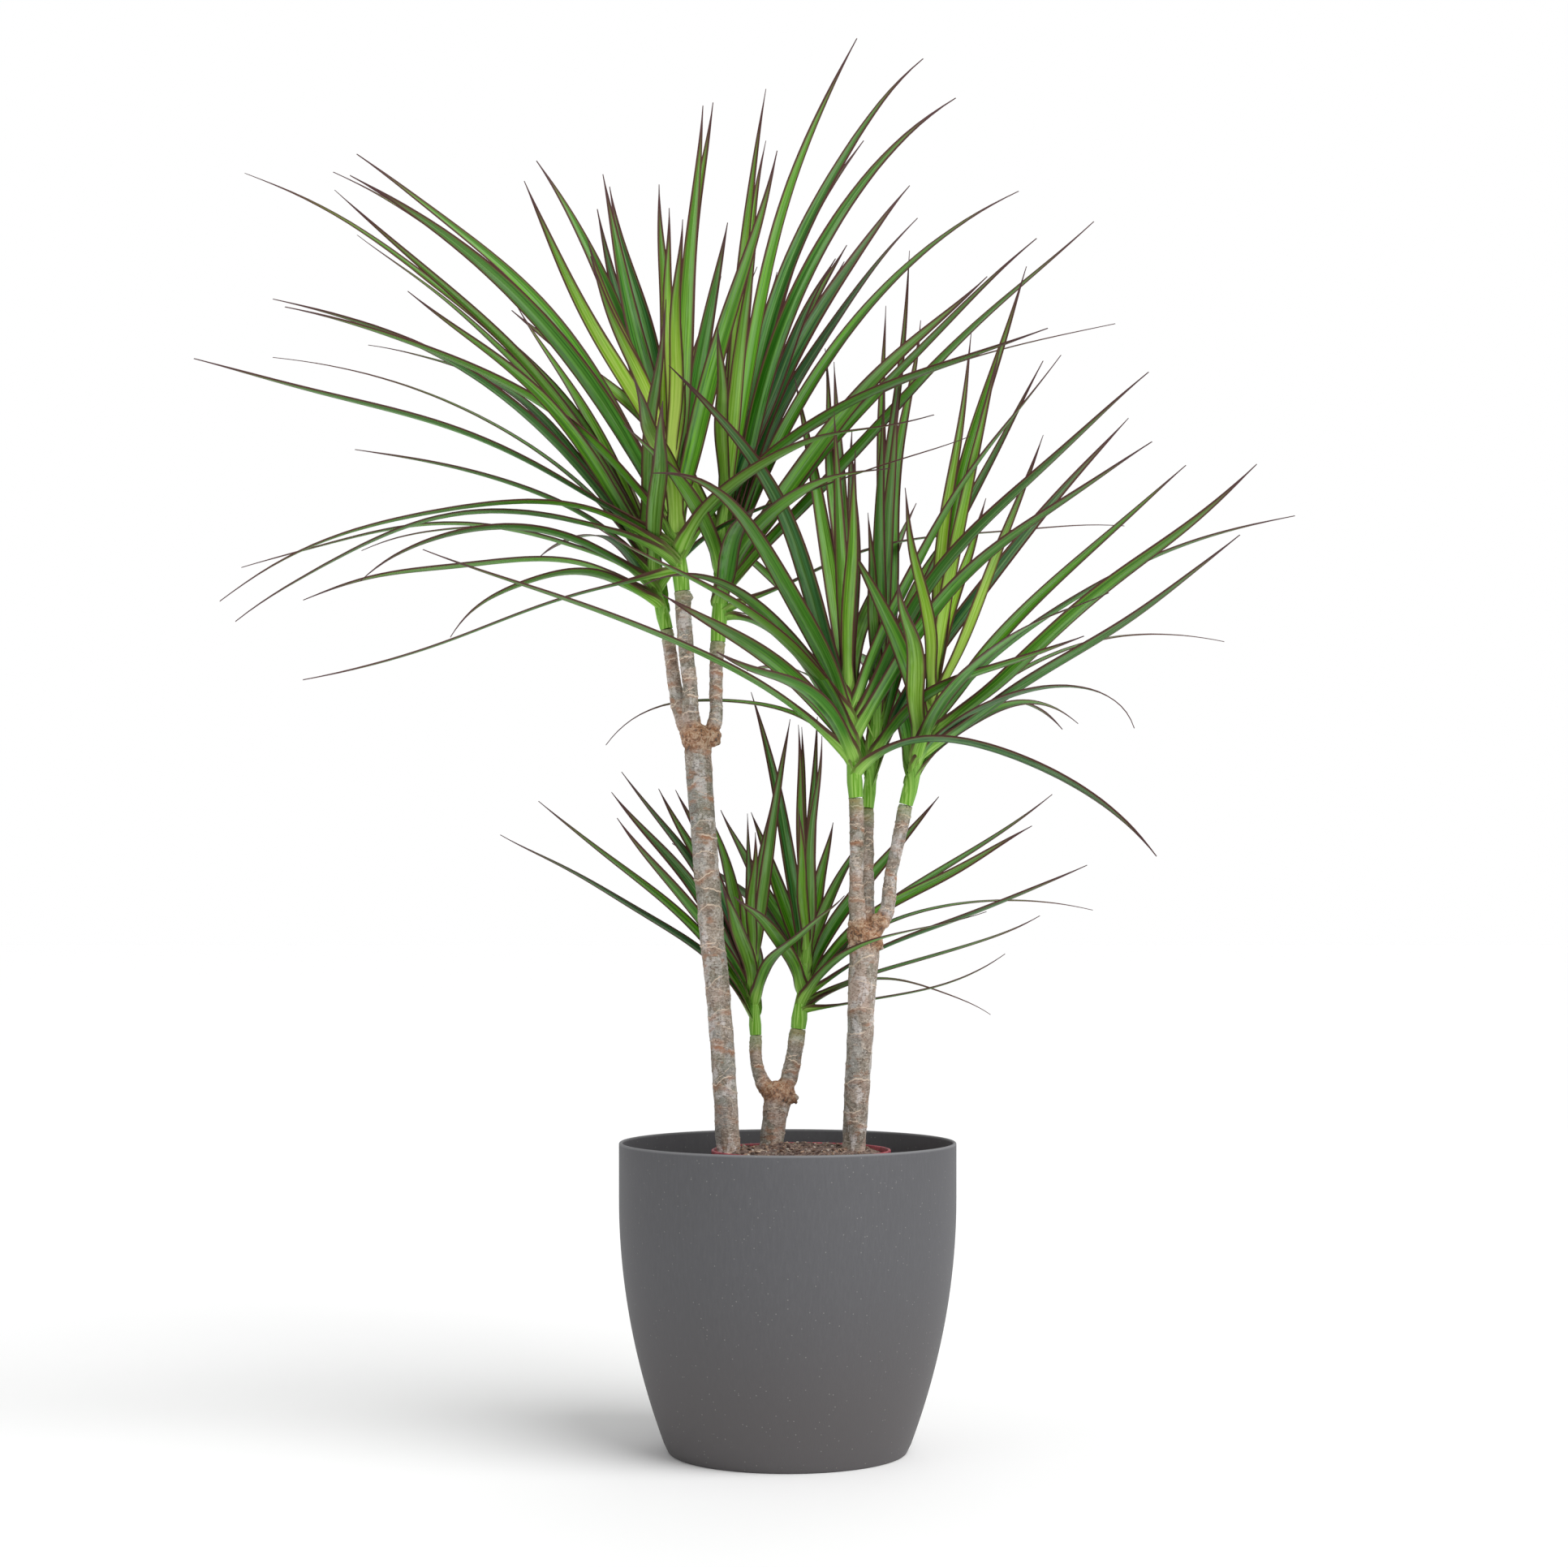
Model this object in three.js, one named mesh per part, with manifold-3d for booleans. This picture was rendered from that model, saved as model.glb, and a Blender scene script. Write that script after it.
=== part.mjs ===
// Potted dracaena: three canes of different heights, each forked into two or three branches that end
// in a head of long narrow leaves. They are rooted in a nursery pot, which stands in a round cover pot.
// Millimetres, +Z up, seen from -Y. The origin is the centre of the cover pot's underside.

import * as THREE from "three";
import { mergeVertices } from "three/addons/utils/BufferGeometryUtils.js";
import Module from "manifold-3d";

const wasm = await Module();
wasm.setup();
const { Manifold } = wasm;

// ---------------------------------------------------------------- driving dimensions

const CLEARANCE = 0.3; // between two pieces that touch

// The cover pot's wall leans out from the foot and is upright from the shoulder to the rim.
const POT = { foot: 107, rim: 150, shoulder: 225, height: 275, wall: 3, floor: 4, edge: 2.5, sides: 36 };
const NURSERY = { x: 12, y: 2, rim: 80, foot: 67, top: 268, wall: 1.6, lip: 3, lipHeight: 9, sides: 28 };
const DRAIN = { count: 5, radius: 5, ring: 44, sides: 6 };
const SOIL = { edge: 263, crown: 271, lump: 1.6, sides: NURSERY.sides, rings: 4 };

const CANE = { sides: 8, ringSpacing: 16, ringSwell: 0.035 };
const CORE = { sides: 8, tipRadius: 3.2 };

// A blade's half-width, as a share of its widest, is held at a waist above the clasping base.
const BLADE = { thickness: 1.3, base: 0.42, waist: 0.52, widest: 0.3, taper: 1.7 };
const STATIONS = [0, 0.22, 0.45, 0.68, 0.87]; // shares of the length; the tip follows
const START_SHARE = 0.45; // of a blade's lean that it already has where it leaves the stem
const START_PULL = 0.32; // share of the length that the stem end steers
const TIP_PULL = 0.36; // share of the length that the hanging tip steers
const GOLDEN_ANGLE = 137.5;

// At its base a steep leaf that leans sideways turns its face to the front by so many degrees. A leaf
// that leans more than the first angle turns less, and past the second angle not at all. It turns and
// twists to that hand that brings its face round to the front.
const ROOT_TURN = { most: 35, full: 45, none: 68 };

// The plant is described as it is seen from a point level with the lower canes. What is seen at (x, z)
// in the plane of the pot's axis, and stands y behind it, lies further out by y's share of the distance.
const EYE = { x: -3, distance: 2450, height: 469 };

// ---------------------------------------------------------------- materials

const paint = (color, roughness) => new THREE.MeshStandardMaterial({ color, roughness, metalness: 0 });
const POT_GREY = paint(0x58585b, 0.55);
const NURSERY_RED = paint(0x9a3340, 0.5);
const PEAT = paint(0x5a4030, 0.95);
const BARK = paint(0x9b8d80, 0.85);
const LEAF_GREEN = paint(0x2f7a1e, 0.45);

// ---------------------------------------------------------------- small tools

const vec = (x, y, z) => new THREE.Vector3(x, y, z);
const UP = vec(0, 0, 1);
const radians = THREE.MathUtils.degToRad;
const lerp = THREE.MathUtils.lerp;
const smooth = (t) => THREE.MathUtils.smoothstep(t, 0, 1);

// A repeatable draw from 0 to 1.
function drawer(seed) {
  let state = seed;
  return () => {
    state = (state * 16807) % 2147483647;
    return state / 2147483647;
  };
}

// Skins a row of rings of points, counter-clockwise seen from the far end, and closes both ends.
// A ring of one point makes a tip. Each four-sided patch is split so that it bulges outwards where the
// rings turn counter-clockwise, or clockwise, on the way to the far end.
function skin(rings, clockwise = false) {
  const starts = [0];
  for (const ring of rings) starts.push(starts[starts.length - 1] + ring.length);
  const faces = [];
  for (let k = 0; k + 1 < rings.length; k++) {
    const sides = Math.max(rings[k].length, rings[k + 1].length);
    for (let i = 0; i < sides; i++) {
      const near = starts[k] + (i % rings[k].length);
      const nearNext = starts[k] + ((i + 1) % rings[k].length);
      const far = starts[k + 1] + (i % rings[k + 1].length);
      const farNext = starts[k + 1] + ((i + 1) % rings[k + 1].length);
      if (clockwise) faces.push([near, nearNext, farNext], [near, farNext, far]);
      else faces.push([near, nearNext, far], [nearNext, farNext, far]);
    }
  }
  const last = rings.length - 1;
  for (let i = 1; i + 1 < rings[0].length; i++) faces.push([0, i + 1, i]);
  for (let i = 1; i + 1 < rings[last].length; i++) {
    faces.push([starts[last], starts[last] + i, starts[last] + i + 1]);
  }
  const geometry = new THREE.BufferGeometry().setFromPoints(rings.flat());
  geometry.setIndex(faces.filter((face) => new Set(face).size === 3).flat());
  return geometry;
}

// A closed three.js geometry as a solid that can be joined and cut.
function solid(geometry) {
  const bare = new THREE.BufferGeometry().setAttribute("position", geometry.getAttribute("position"));
  bare.setIndex(geometry.index);
  const merged = mergeVertices(bare, 1e-4);
  return new Manifold(
    new wasm.Mesh({
      numProp: 3,
      vertProperties: new Float32Array(merged.attributes.position.array),
      triVerts: new Uint32Array(merged.index.array),
    }),
  );
}

function mesh(name, made, material) {
  const { numProp, vertProperties, triVerts } = made.getMesh();
  const positions = [];
  for (let i = 0; i < vertProperties.length; i += numProp) positions.push(...vertProperties.slice(i, i + 3));
  const geometry = new THREE.BufferGeometry();
  geometry.setAttribute("position", new THREE.Float32BufferAttribute(positions, 3));
  geometry.setIndex([...triVerts]);
  geometry.computeVertexNormals();
  const made3d = new THREE.Mesh(geometry, material);
  made3d.name = name;
  return made3d;
}

// A profile of [radius, height] points turned round the vertical through (x, y).
function turned(profile, sides, x = 0, y = 0) {
  const geometry = new THREE.LatheGeometry(profile.map(([r, z]) => new THREE.Vector2(r, z)), sides);
  geometry.rotateX(Math.PI / 2);
  geometry.translate(x, y, 0);
  return solid(geometry);
}

function lump([x, y, z], [rx, ry, rz]) {
  const geometry = new THREE.SphereGeometry(1, 8, 5);
  geometry.scale(rx, ry, rz);
  geometry.translate(x, y, z);
  return solid(geometry);
}

// Joins solids into one body: a hollow that the joining seals is filled, and a loose scrap is left out.
function fused(solids) {
  const bodies = Manifold.union(solids).decompose();
  return bodies.reduce((largest, body) => (body.volume() > largest.volume() ? body : largest));
}

// ---------------------------------------------------------------- pots and soil

function coverPot() {
  const side = new THREE.QuadraticBezierCurve(
    new THREE.Vector2(POT.foot, 0),
    new THREE.Vector2(POT.rim, POT.shoulder / 2),
    new THREE.Vector2(POT.rim, POT.shoulder),
  );
  const { height, wall, floor, edge, rim } = POT;
  const points = (count) => side.getPoints(count).slice(1).map((p) => [p.x, p.y]);
  const heel = [[0, 0], [POT.foot - edge, 0], [POT.foot + edge / 2, edge]];
  const lip = [[rim, height - 1], [rim - 1, height], [rim - wall + 1, height], [rim - wall, height - 1]];
  const inside = points(4)
    .reverse()
    .map(([r, z]) => [r - wall, z]);
  const well = [[POT.foot - wall, floor + edge], [POT.foot - wall - edge, floor], [0, floor]];
  return turned([...heel, ...points(7), ...lip, ...inside, ...well], POT.sides);
}

const nurseryFoot = POT.floor + CLEARANCE;
const nurseryRadius = (z) => lerp(NURSERY.foot, NURSERY.rim, (z - nurseryFoot) / (NURSERY.top - nurseryFoot));

function nurseryPot() {
  const { top, wall, lip, lipHeight, sides, x, y } = NURSERY;
  const under = top - lipHeight;
  const profile = [
    [0, nurseryFoot],
    [NURSERY.foot - lip, nurseryFoot],
    [nurseryRadius(under) - lip, under],
    [NURSERY.rim, under + lip],
    [NURSERY.rim, top],
    [NURSERY.rim - wall, top],
    [nurseryRadius(under) - lip - wall, under - wall],
    [NURSERY.foot - lip - wall, nurseryFoot + 2 * wall],
    [0, nurseryFoot + 2 * wall],
  ];
  let made = turned(profile, sides, x, y);
  for (let i = 0; i < DRAIN.count; i++) {
    const angle = (2 * Math.PI * i) / DRAIN.count;
    const drill = new THREE.CylinderGeometry(DRAIN.radius, DRAIN.radius, 20, DRAIN.sides);
    drill.rotateX(Math.PI / 2);
    drill.translate(x + DRAIN.ring * Math.cos(angle), y + DRAIN.ring * Math.sin(angle), nurseryFoot);
    made = made.subtract(solid(drill));
  }
  return made;
}

// Peat and bark fill the nursery pot to a lumpy mound. The sides follow the pot's wall.
function soil(canes) {
  const { sides, rings } = SOIL;
  const under = NURSERY.top - NURSERY.lipHeight;
  const ring = (radius, height) =>
    Array.from({ length: sides }, (_, i) => {
      const angle = (2 * Math.PI * i) / sides;
      const x = radius * Math.cos(angle);
      const y = radius * Math.sin(angle);
      return vec(NURSERY.x + x, NURSERY.y + y, height(x, y, radius));
    });
  const fit = NURSERY.lip + NURSERY.wall + CLEARANCE;
  const low = nurseryFoot + 2 * NURSERY.wall + CLEARANCE;
  const edge = nurseryRadius(under) - fit;
  const mound = (x, y, radius) =>
    lerp(SOIL.crown, SOIL.edge, (radius / edge) ** 2) +
    SOIL.lump * Math.sin(x / 6.1 + 1) * Math.cos(y / 5.3) +
    SOIL.lump * 0.6 * Math.sin((x + 2 * y) / 4.7);
  const middle = (height) => [vec(NURSERY.x, NURSERY.y, height)];
  const layers = [middle(low), ring(NURSERY.foot - fit, () => low), ring(edge, () => under - 2)];
  for (let k = 0; k < rings; k++) layers.push(ring(edge * (1 - k / rings) + 0.01, mound));
  layers.push(middle(mound(0, 0, 0)));
  let made = solid(skin(layers));
  for (const cane of canes) made = made.subtract(cane);
  return made;
}

// ---------------------------------------------------------------- canes

const route = (points) => new THREE.CatmullRomCurve3(points.map(([x, y, z]) => vec(x, y, z)));

// A stem swept through [x, y, z, radius] points, swollen and drawn in by turns as at its leaf scars.
function stem(points, extra = 0) {
  const curve = route(points);
  const radii = points.map((p) => p[3]);
  const steps = Math.max(4, Math.round(curve.getLength() / CANE.ringSpacing));
  const rings = [];
  for (let k = 0; k <= steps; k++) {
    const t = curve.getUtoTmapping(k / steps);
    const at = t * (points.length - 1);
    const low = Math.min(Math.floor(at), points.length - 2);
    const swell = 1 + CANE.ringSwell * (k % 2 ? 1 : -1);
    const radius = lerp(radii[low], radii[low + 1], at - low) * swell + extra;
    rings.push(circle(curve.getPoint(t), curve.getTangent(t), radius, CANE.sides));
  }
  return solid(skin(rings));
}

// Points on a circle round a direction that is never level with X.
function circle(centre, direction, radius, sides) {
  const across = vec(0, 1, 0).cross(direction).normalize();
  const over = direction.clone().cross(across);
  return Array.from({ length: sides }, (_, i) => {
    const angle = (2 * Math.PI * i) / sides;
    return centre
      .clone()
      .addScaledVector(across, radius * Math.cos(angle))
      .addScaledVector(over, radius * Math.sin(angle));
  });
}

// Each cane runs from its buried end to the fork. Knots are the swollen wood at the fork and at old cuts.
const CANES = {
  cane_tall: {
    trunk: [
      [-44, 0, 186, 10],
      [-52.6, -4, 269, 10.6],
      [-56.2, -3, 330, 10.6],
      [-61.3, 0, 399, 10.8],
      [-68.5, 4, 470, 11.2],
      [-76.4, 8, 569, 11.4],
      [-79.7, 10, 612, 12],
      [-80.5, 10, 642, 12.5],
    ],
    branches: {
      left: [
        [-84, 10, 632, 9], [-95, 12, 655, 7], [-100.6, 13, 681, 6.1],
        [-104, 13, 705, 5.9], [-108.2, 12, 732, 6],
      ],
      middle: [
        [-82, 8, 636, 9], [-86.5, 4, 655, 7.4], [-87, 1, 681, 6.7],
        [-90, -4, 708, 6.9], [-93.5, -8, 764, 7.2],
      ],
      right: [
        [-74, 10, 634, 8], [-66, 11, 646, 6.4], [-64, 12, 681, 5.9],
        [-63.5, 13, 705, 6.2], [-62.4, 14, 721, 6.9],
      ],
    },
    knots: [[[-81, 9, 636], [15.5, 14.5, 13]], [[-68, 10, 636], [10, 9, 10]]],
  },
  cane_middle: {
    trunk: [
      [57, -4, 180, 10.2],
      [58.8, -5, 270, 10.4],
      [61.6, -6, 322, 11.2],
      [64.4, -7, 370, 11.6],
      [65.5, -8, 405, 12.2],
      [67.8, -8, 440, 13.4],
      [67.5, -8, 466, 13],
    ],
    branches: {
      left: [
        [63, -9, 462, 9], [61.4, -12, 482, 7.6], [60.6, -16, 505, 6.3],
        [61.3, -19, 548, 6.4], [60.3, -22, 580, 6.7],
      ],
      middle: [
        [70, -4, 464, 8], [71, 1, 485, 6.4], [71.4, 4, 510, 5.6],
        [71.4, 7, 548, 5.5], [71.4, 8, 572, 5.7],
      ],
      right: [
        [76, -8, 462, 8], [87, -9, 478, 6.8], [91, -10, 509, 5.6],
        [96, -12, 533, 5.7], [104.5, -14, 574, 6.5],
      ],
    },
    knots: [[[67.5, -8, 458], [16.5, 14, 15]], [[81, -10, 470], [9, 9, 9]], [[80.5, -16, 452], [4.5, 4, 7]]],
  },
  cane_short: {
    trunk: [
      [-15.5, 29, 190, 10.8],
      [-13.8, 29, 278, 11],
      [-11.6, 29, 293, 11],
      [-10, 29, 306, 12],
      [-8, 29, 320, 13],
    ],
    branches: {
      left: [[-14, 30, 314, 9], [-24, 32, 329, 6.4], [-28.4, 34, 346, 5.7], [-28.8, 36, 368, 5.5]],
      right: [[-6, 29, 314, 9], [1, 29, 329, 7.8], [5, 29, 347, 7.3], [9.5, 30, 374, 7.2]],
    },
    knots: [[[-8.5, 29, 317], [16, 13.5, 11.5]], [[4, 28, 312], [6, 6, 6]]],
  },
};

function cane({ trunk, branches, knots }, extra = 0) {
  const woods = [trunk, ...Object.values(branches)].map((points) => stem(points, extra));
  return fused([...woods, ...knots.map(([centre, radii]) => lump(centre, radii.map((r) => r + extra)))]);
}

// ---------------------------------------------------------------- heads of leaves

// Each head stands on a branch of a cane. Its green stem runs from there to `top`.
// Leaves run from the youngest, at the tip of the stem, to the oldest, at its foot. A row gives where the
// tip is seen from the stem's foot (across, towards the viewer, up), how many degrees the tip hangs below
// the line from root to tip, how far the blade twists, and the lean at the root where the rule's won't do.
const HEADS = {
  head_tall_left: {
    cane: "cane_tall", branch: "left", top: [-130, 20, 815], width: 15.5, fill: 6, length: 360, seed: 11,
    leaves: [
      [-375, -60, 405, 20, 40], [-295, 40, 390, 8, 70], [-275, -120, 350, 10, 10],
      [-234, -180, 326, 10, 15], [-230, 150, 300, 14, 20], [-350, 60, 293, 26, 15],
      [-265, -150, 252, 28, 10], [-350, -40, 241, 24, 10], [-277, 60, 159, 16, 8],
      [-378, 90, 54, 22, 6, 50], [-272, 120, 42, 45, 30], [-271, -90, 69, 30, 5],
      [-323, 110, 25, 20, 25, 55], [-192, 170, -8, 42, 45, 58], [-113, -260, 63, 30, 0],
    ],
  },
  head_tall_middle: {
    cane: "cane_tall", branch: "middle", top: [-104.5, -12, 868], width: 18, fill: 5, length: 380, seed: 22,
    leaves: [
      [3, 60, 188, 5, 20], [-82, 120, 299, -2, 40], [-85, 60, 315, -2, 50], [-12, 40, 342, 3, 10],
      [-141, 70, 366, -5, 60], [-21, -60, 363, -3, 20], [27, -30, 436, 4, 30], [18, 30, 433, 0, 20],
      [-71, -90, 372, -4, 40], [-65, -150, 361, 2, 30], [-76, -110, 341, -6, 60], [-130, -170, 384, 14, 10],
      [84, 90, 393, -3, 30], [40, -80, 329, 2, 20], [-290, -70, 390, 16, 40], [-296, 60, 371, 22, 75],
      [-311, -140, 374, 20, 10], [-354, 90, 254, 22, 10], [-435, 30, 208, 8, 15, 50],
      [325, 20, 235, 14, 20], [385, -110, 239, 16, 5], [-412, 110, -8, 32, 8], [-398, 60, -26, 34, 8],
      [-338, 60, -78, -6, 12, 98],
    ],
  },
  head_tall_right: {
    cane: "cane_tall", branch: "right", top: [-56, 18, 853], width: 17.5, fill: 5, length: 380, seed: 33,
    leaves: [
      [43, -40, 491, 5, 30], [43, -120, 445, 8, 10], [33, -160, 424, 8, 10], [36, 60, 375, 4, 20],
      [53, -150, 328, 4, 30], [77, -90, 368, 6, 40], [124, 0, 536, 15, 50], [105, 110, 340, 8, 50],
      [115, -100, 352, 8, 40], [183, -120, 518, 26, 30], [212, -30, 483, 30, 60], [130, -200, 445, 20, 0],
      [171, 70, 405, 16, 75], [178, -150, 376, 14, 0], [268, -60, 400, 26, 25], [284, -20, 358, 8, 40, 34],
      [335, -110, 373, 4, 20, 40], [240, 50, 324, 8, 80], [33, 150, 118, 25, 30],
      [362, -120, 102, 14, 10, 60], [101, -60, -78, 40, 10, 70],
    ],
  },
  head_middle_left: {
    cane: "cane_middle", branch: "left", top: [52, -26, 680], width: 17.5, fill: 5, length: 350, seed: 44,
    leaves: [
      [-19, 60, 345, 0, 15], [-27, -40, 401, 2, 30], [-19, -150, 389, 4, 0], [-54, -60, 375, 3, 40],
      [-3, -170, 328, 2, 20], [-166, 110, 386, 26, 45], [183, 30, 395, 10, 0], [-180, 150, 290, 50, 30],
      [261, 60, 380, 13, 20], [264, 90, 318, 16, 15], [-189, 130, 190, 62, 20, 12],
      [-172, 150, 182, 10, 60], [-385, 90, 222, 6, 10, 40], [-222, -90, 48, 58, 20, 20],
      [268, 110, -51, 38, 50, 35],
    ],
  },
  head_middle_back: {
    cane: "cane_middle", branch: "middle", top: [82, 14, 673], width: 15.5, fill: 6, length: 350, seed: 55,
    leaves: [
      [37, -60, 496, 3, 0], [16, -140, 447, 2, 0], [47, -180, 434, 3, 10], [14, 40, 372, 0, 60],
      [27, 20, 375, 0, 50], [156, -90, 398, 6, 20], [232, -50, 347, 6, 75],
    ],
  },
  head_middle_right: {
    cane: "cane_middle", branch: "right", top: [129, -18, 665], width: 16.5, fill: 6, length: 350, seed: 66,
    leaves: [
      [123, 30, 330, -2, 60, 24], [59, -30, 422, 2, 75], [85, 40, 410, 3, 75], [108, -40, 480, 8, 50],
      [-52, 110, 235, 12, 20], [250, -80, 303, 6, 20, 34], [313, 60, 304, -2, 60, 46],
      [347, 20, 258, 22, 10], [298, 110, 241, -6, 20, 52], [284, -100, 146, 32, 10],
      [204, 100, 69, 82, 10, 15], [154, -120, 73, 50, 40], [140, -190, 68, 48, 5],
    ],
  },
  head_short_left: {
    cane: "cane_short", branch: "left", top: [-32.4, 40, 435], width: 14, fill: 6, length: 240, seed: 77,
    leaves: [
      [-15, 20, 134, 2, 40], [-7, -60, 199, 2, 70], [31, 20, 283, 2, 50], [-71, -60, 220, 4, 40],
      [-86, -100, 221, 4, 30], [-119, -120, 236, 8, 0], [-128, -20, 218, 6, 75], [-123, 10, 195, 0, 60],
      [-193, -30, 210, 4, 20], [-227, -60, 180, 6, 10],
    ],
  },
  head_short_right: {
    cane: "cane_short", branch: "right", top: [17.3, 32, 442], width: 14.5, fill: 5, length: 240, seed: 88,
    leaves: [
      [0, 30, 272, 1, 20], [3, -90, 270, 2, 20], [21, 60, 262, 2, 60], [17, -50, 279, 1, 50],
      [-42, -30, 301, 8, 60], [-42, -120, 194, 2, 40], [-69, -150, 196, -4, 0], [31, -100, 185, 2, 20],
      [125, -60, 208, 4, 50], [226, -110, 210, 0, 10, 36], [208, -20, 182, 6, 60],
      [257, 20, 147, 0, 30, 48], [262, -80, 107, 30, 10, 22], [215, -140, 102, -8, 5, 58],
      [184, 50, 68, -20, 5, 75], [171, -40, 14, 34, 10, 30],
    ],
  },
};

// Rows for the leaves that point mostly to the front and back, a golden angle apart round the stem.
function fillRows({ fill, length, seed }) {
  const draw = drawer(seed);
  const rows = [];
  for (let k = 0; rows.length < fill; k++) {
    const azimuth = radians(k * GOLDEN_ANGLE + 40 * draw());
    const age = rows.length / fill;
    const toward = Math.cos(azimuth);
    const reach = length * lerp(0.9, 1.15, draw());
    const lean = radians((toward > 0 ? lerp(34, 66, age) : lerp(16, 76, age)) + 8 * draw());
    const hang = lerp(2, 24, age) * draw();
    const twist = 60 * (draw() - 0.5);
    if (Math.abs(toward) < 0.6) continue;
    const out = reach * Math.sin(lean);
    rows.push([out * Math.sin(azimuth), out * toward, reach * Math.cos(lean), hang, twist]);
  }
  return rows;
}

// The place that is seen at (x, z) in the plane of the pot's axis and stands y behind it.
function sighted(x, y, z) {
  const far = 1 + y / EYE.distance;
  return vec(EYE.x + (x - EYE.x) * far, y, EYE.height + (z - EYE.height) * far);
}

// A row as a leaf: a centre line from root to tip, how far its face is turned at the root and twisted at
// the tip, and a width. Its tip is set back along the line of sight by so many millimetres, and lifted by
// so many degrees.
function leafOf(head, row, age, back, lift) {
  const [across, toward, rise, hang, twist, rootLean] = row;
  const foot = head.foot;
  const offset = sighted(foot.x + across, foot.y - toward + back, foot.z + rise).sub(foot);
  offset.applyAxisAngle(UP.clone().cross(offset).normalize(), -radians(lift));
  const share = lerp(0.95, 0.1, age);
  const outward = vec(offset.x, offset.y, 0).normalize();
  const root = foot
    .clone()
    .lerp(head.top, share)
    .addScaledVector(outward, 0.5 * lerp(head.radius, CORE.tipRadius, share));
  const tip = foot.clone().add(offset);
  const chord = tip.clone().sub(root);
  const length = chord.length();
  chord.normalize();
  const bendAxis = UP.clone().cross(chord).normalize();
  const lean = UP.angleTo(chord);
  const leave = rootLean === undefined ? START_SHARE * lean : radians(rootLean);
  const start = UP.clone().applyAxisAngle(bendAxis, leave);
  const end = chord.clone().applyAxisAngle(bendAxis, radians(hang));
  const line = new THREE.CubicBezierCurve3(
    root,
    root.clone().addScaledVector(start, START_PULL * length),
    tip.clone().addScaledVector(end, -TIP_PULL * length),
    tip,
  );
  const width = head.width * lerp(0.72, 1, smooth(age * 2.5));
  const sideways = Math.abs(chord.x) / Math.hypot(chord.x, chord.y);
  const flat = (lean - radians(ROOT_TURN.full)) / radians(ROOT_TURN.none - ROOT_TURN.full);
  const hand = chord.x * chord.y < 0 ? -1 : 1;
  const turn = radians(ROOT_TURN.most) * sideways * (1 - smooth(flat));
  return { line, turn: hand * turn, twist: hand * radians(twist), width };
}

function widthShare(u) {
  const waist = lerp(BLADE.waist, 1, smooth(u / BLADE.widest));
  if (u < BLADE.widest) return Math.max(waist, lerp(BLADE.base, 0.4, u / 0.1));
  return 1 - ((u - BLADE.widest) / (1 - BLADE.widest)) ** BLADE.taper;
}

// A blade is flat above with a low keel below, and thins to a point.
function blade({ line, turn, twist, width }, extra = 0) {
  const rings = STATIONS.map((u) => {
    const t = line.getUtoTmapping(u);
    const along = line.getTangent(t);
    const side = UP.clone().cross(along).normalize().applyAxisAngle(along, lerp(turn, twist, t));
    const face = along.clone().cross(side);
    const half = (width / 2) * widthShare(u) + extra;
    const thick = BLADE.thickness * lerp(1, 0.55, u) + extra;
    const centre = line.getPoint(t);
    const corner = (x, z) => centre.clone().addScaledVector(side, x).addScaledVector(face, z);
    return [corner(0, -thick), corner(half, thick * 0.2 + extra), corner(-half, thick * 0.2 + extra)];
  });
  return solid(skin([...rings, [line.getPoint(1)]], twist < turn));
}

// The green stem that the leaves grow from, seated square on the end of its branch.
function core(head) {
  const along = head.top.clone().sub(head.foot).normalize();
  const seat = head.foot.clone().addScaledVector(head.direction, CLEARANCE);
  const rings = [
    circle(seat, head.direction, head.radius, CORE.sides),
    circle(seat.clone().lerp(head.top, 0.5), along, head.radius * 0.9, CORE.sides),
    circle(head.top, along, CORE.tipRadius, CORE.sides),
  ];
  return solid(skin(rings));
}

// How far a leaf's tip is set back, in millimetres, and lifted, in degrees, in the order tried, until
// the leaf is clear of the other nodes.
const SETBACKS = [0, 15, -15, 30, -30, 45, -45, 65, -65, 90, -90, 120, -120, 150, -150];
const LIFTS = [0, 2, -2, 4, -4, 7, -7];

// Adds the rows' leaves to a head, each where it is clear of `others`. One that can't be is left out.
function grow(head, rows, others) {
  const around = Manifold.union(others);
  const tries = LIFTS.flatMap((lift) => SETBACKS.map((back) => [back, lift]));
  const blades = [];
  rows.forEach((row, i) => {
    const age = i / rows.length;
    const leaves = tries.map(([back, lift]) => () => leafOf(head, row, age, back, lift));
    const clear = leaves.find((leaf) => blade(leaf(), CLEARANCE).intersect(around).isEmpty());
    if (clear) blades.push(blade(clear()));
  });
  head.solid = fused([head.solid, ...blades]);
}

function buildHeads(others) {
  const heads = Object.entries(HEADS).map(([name, spec]) => {
    const points = CANES[spec.cane].branches[spec.branch];
    const [x, y, z, radius] = points[points.length - 1];
    const direction = route(points).getTangent(1);
    const head = { ...spec, name, foot: vec(x, y, z), direction, top: vec(...spec.top), radius };
    head.solid = core(head);
    return head;
  });
  for (const rowsOf of [(head) => head.leaves, fillRows]) {
    for (const head of heads) {
      const neighbours = heads.filter((other) => other !== head).map((other) => other.solid);
      grow(head, rowsOf(head), [...others, ...neighbours]);
    }
  }
  return heads;
}

// ---------------------------------------------------------------- the object

const plant = new THREE.Group();
plant.name = "potted_dracaena";

const pot = coverPot();
const nursery = nurseryPot();
const canes = Object.entries(CANES).map(([name, spec]) => {
  return { name, solid: cane(spec), hole: cane(spec, CLEARANCE) };
});
const bed = soil(canes.map((c) => c.hole));
const heads = buildHeads([pot, nursery, bed, ...canes.map((c) => c.solid)]);

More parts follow.
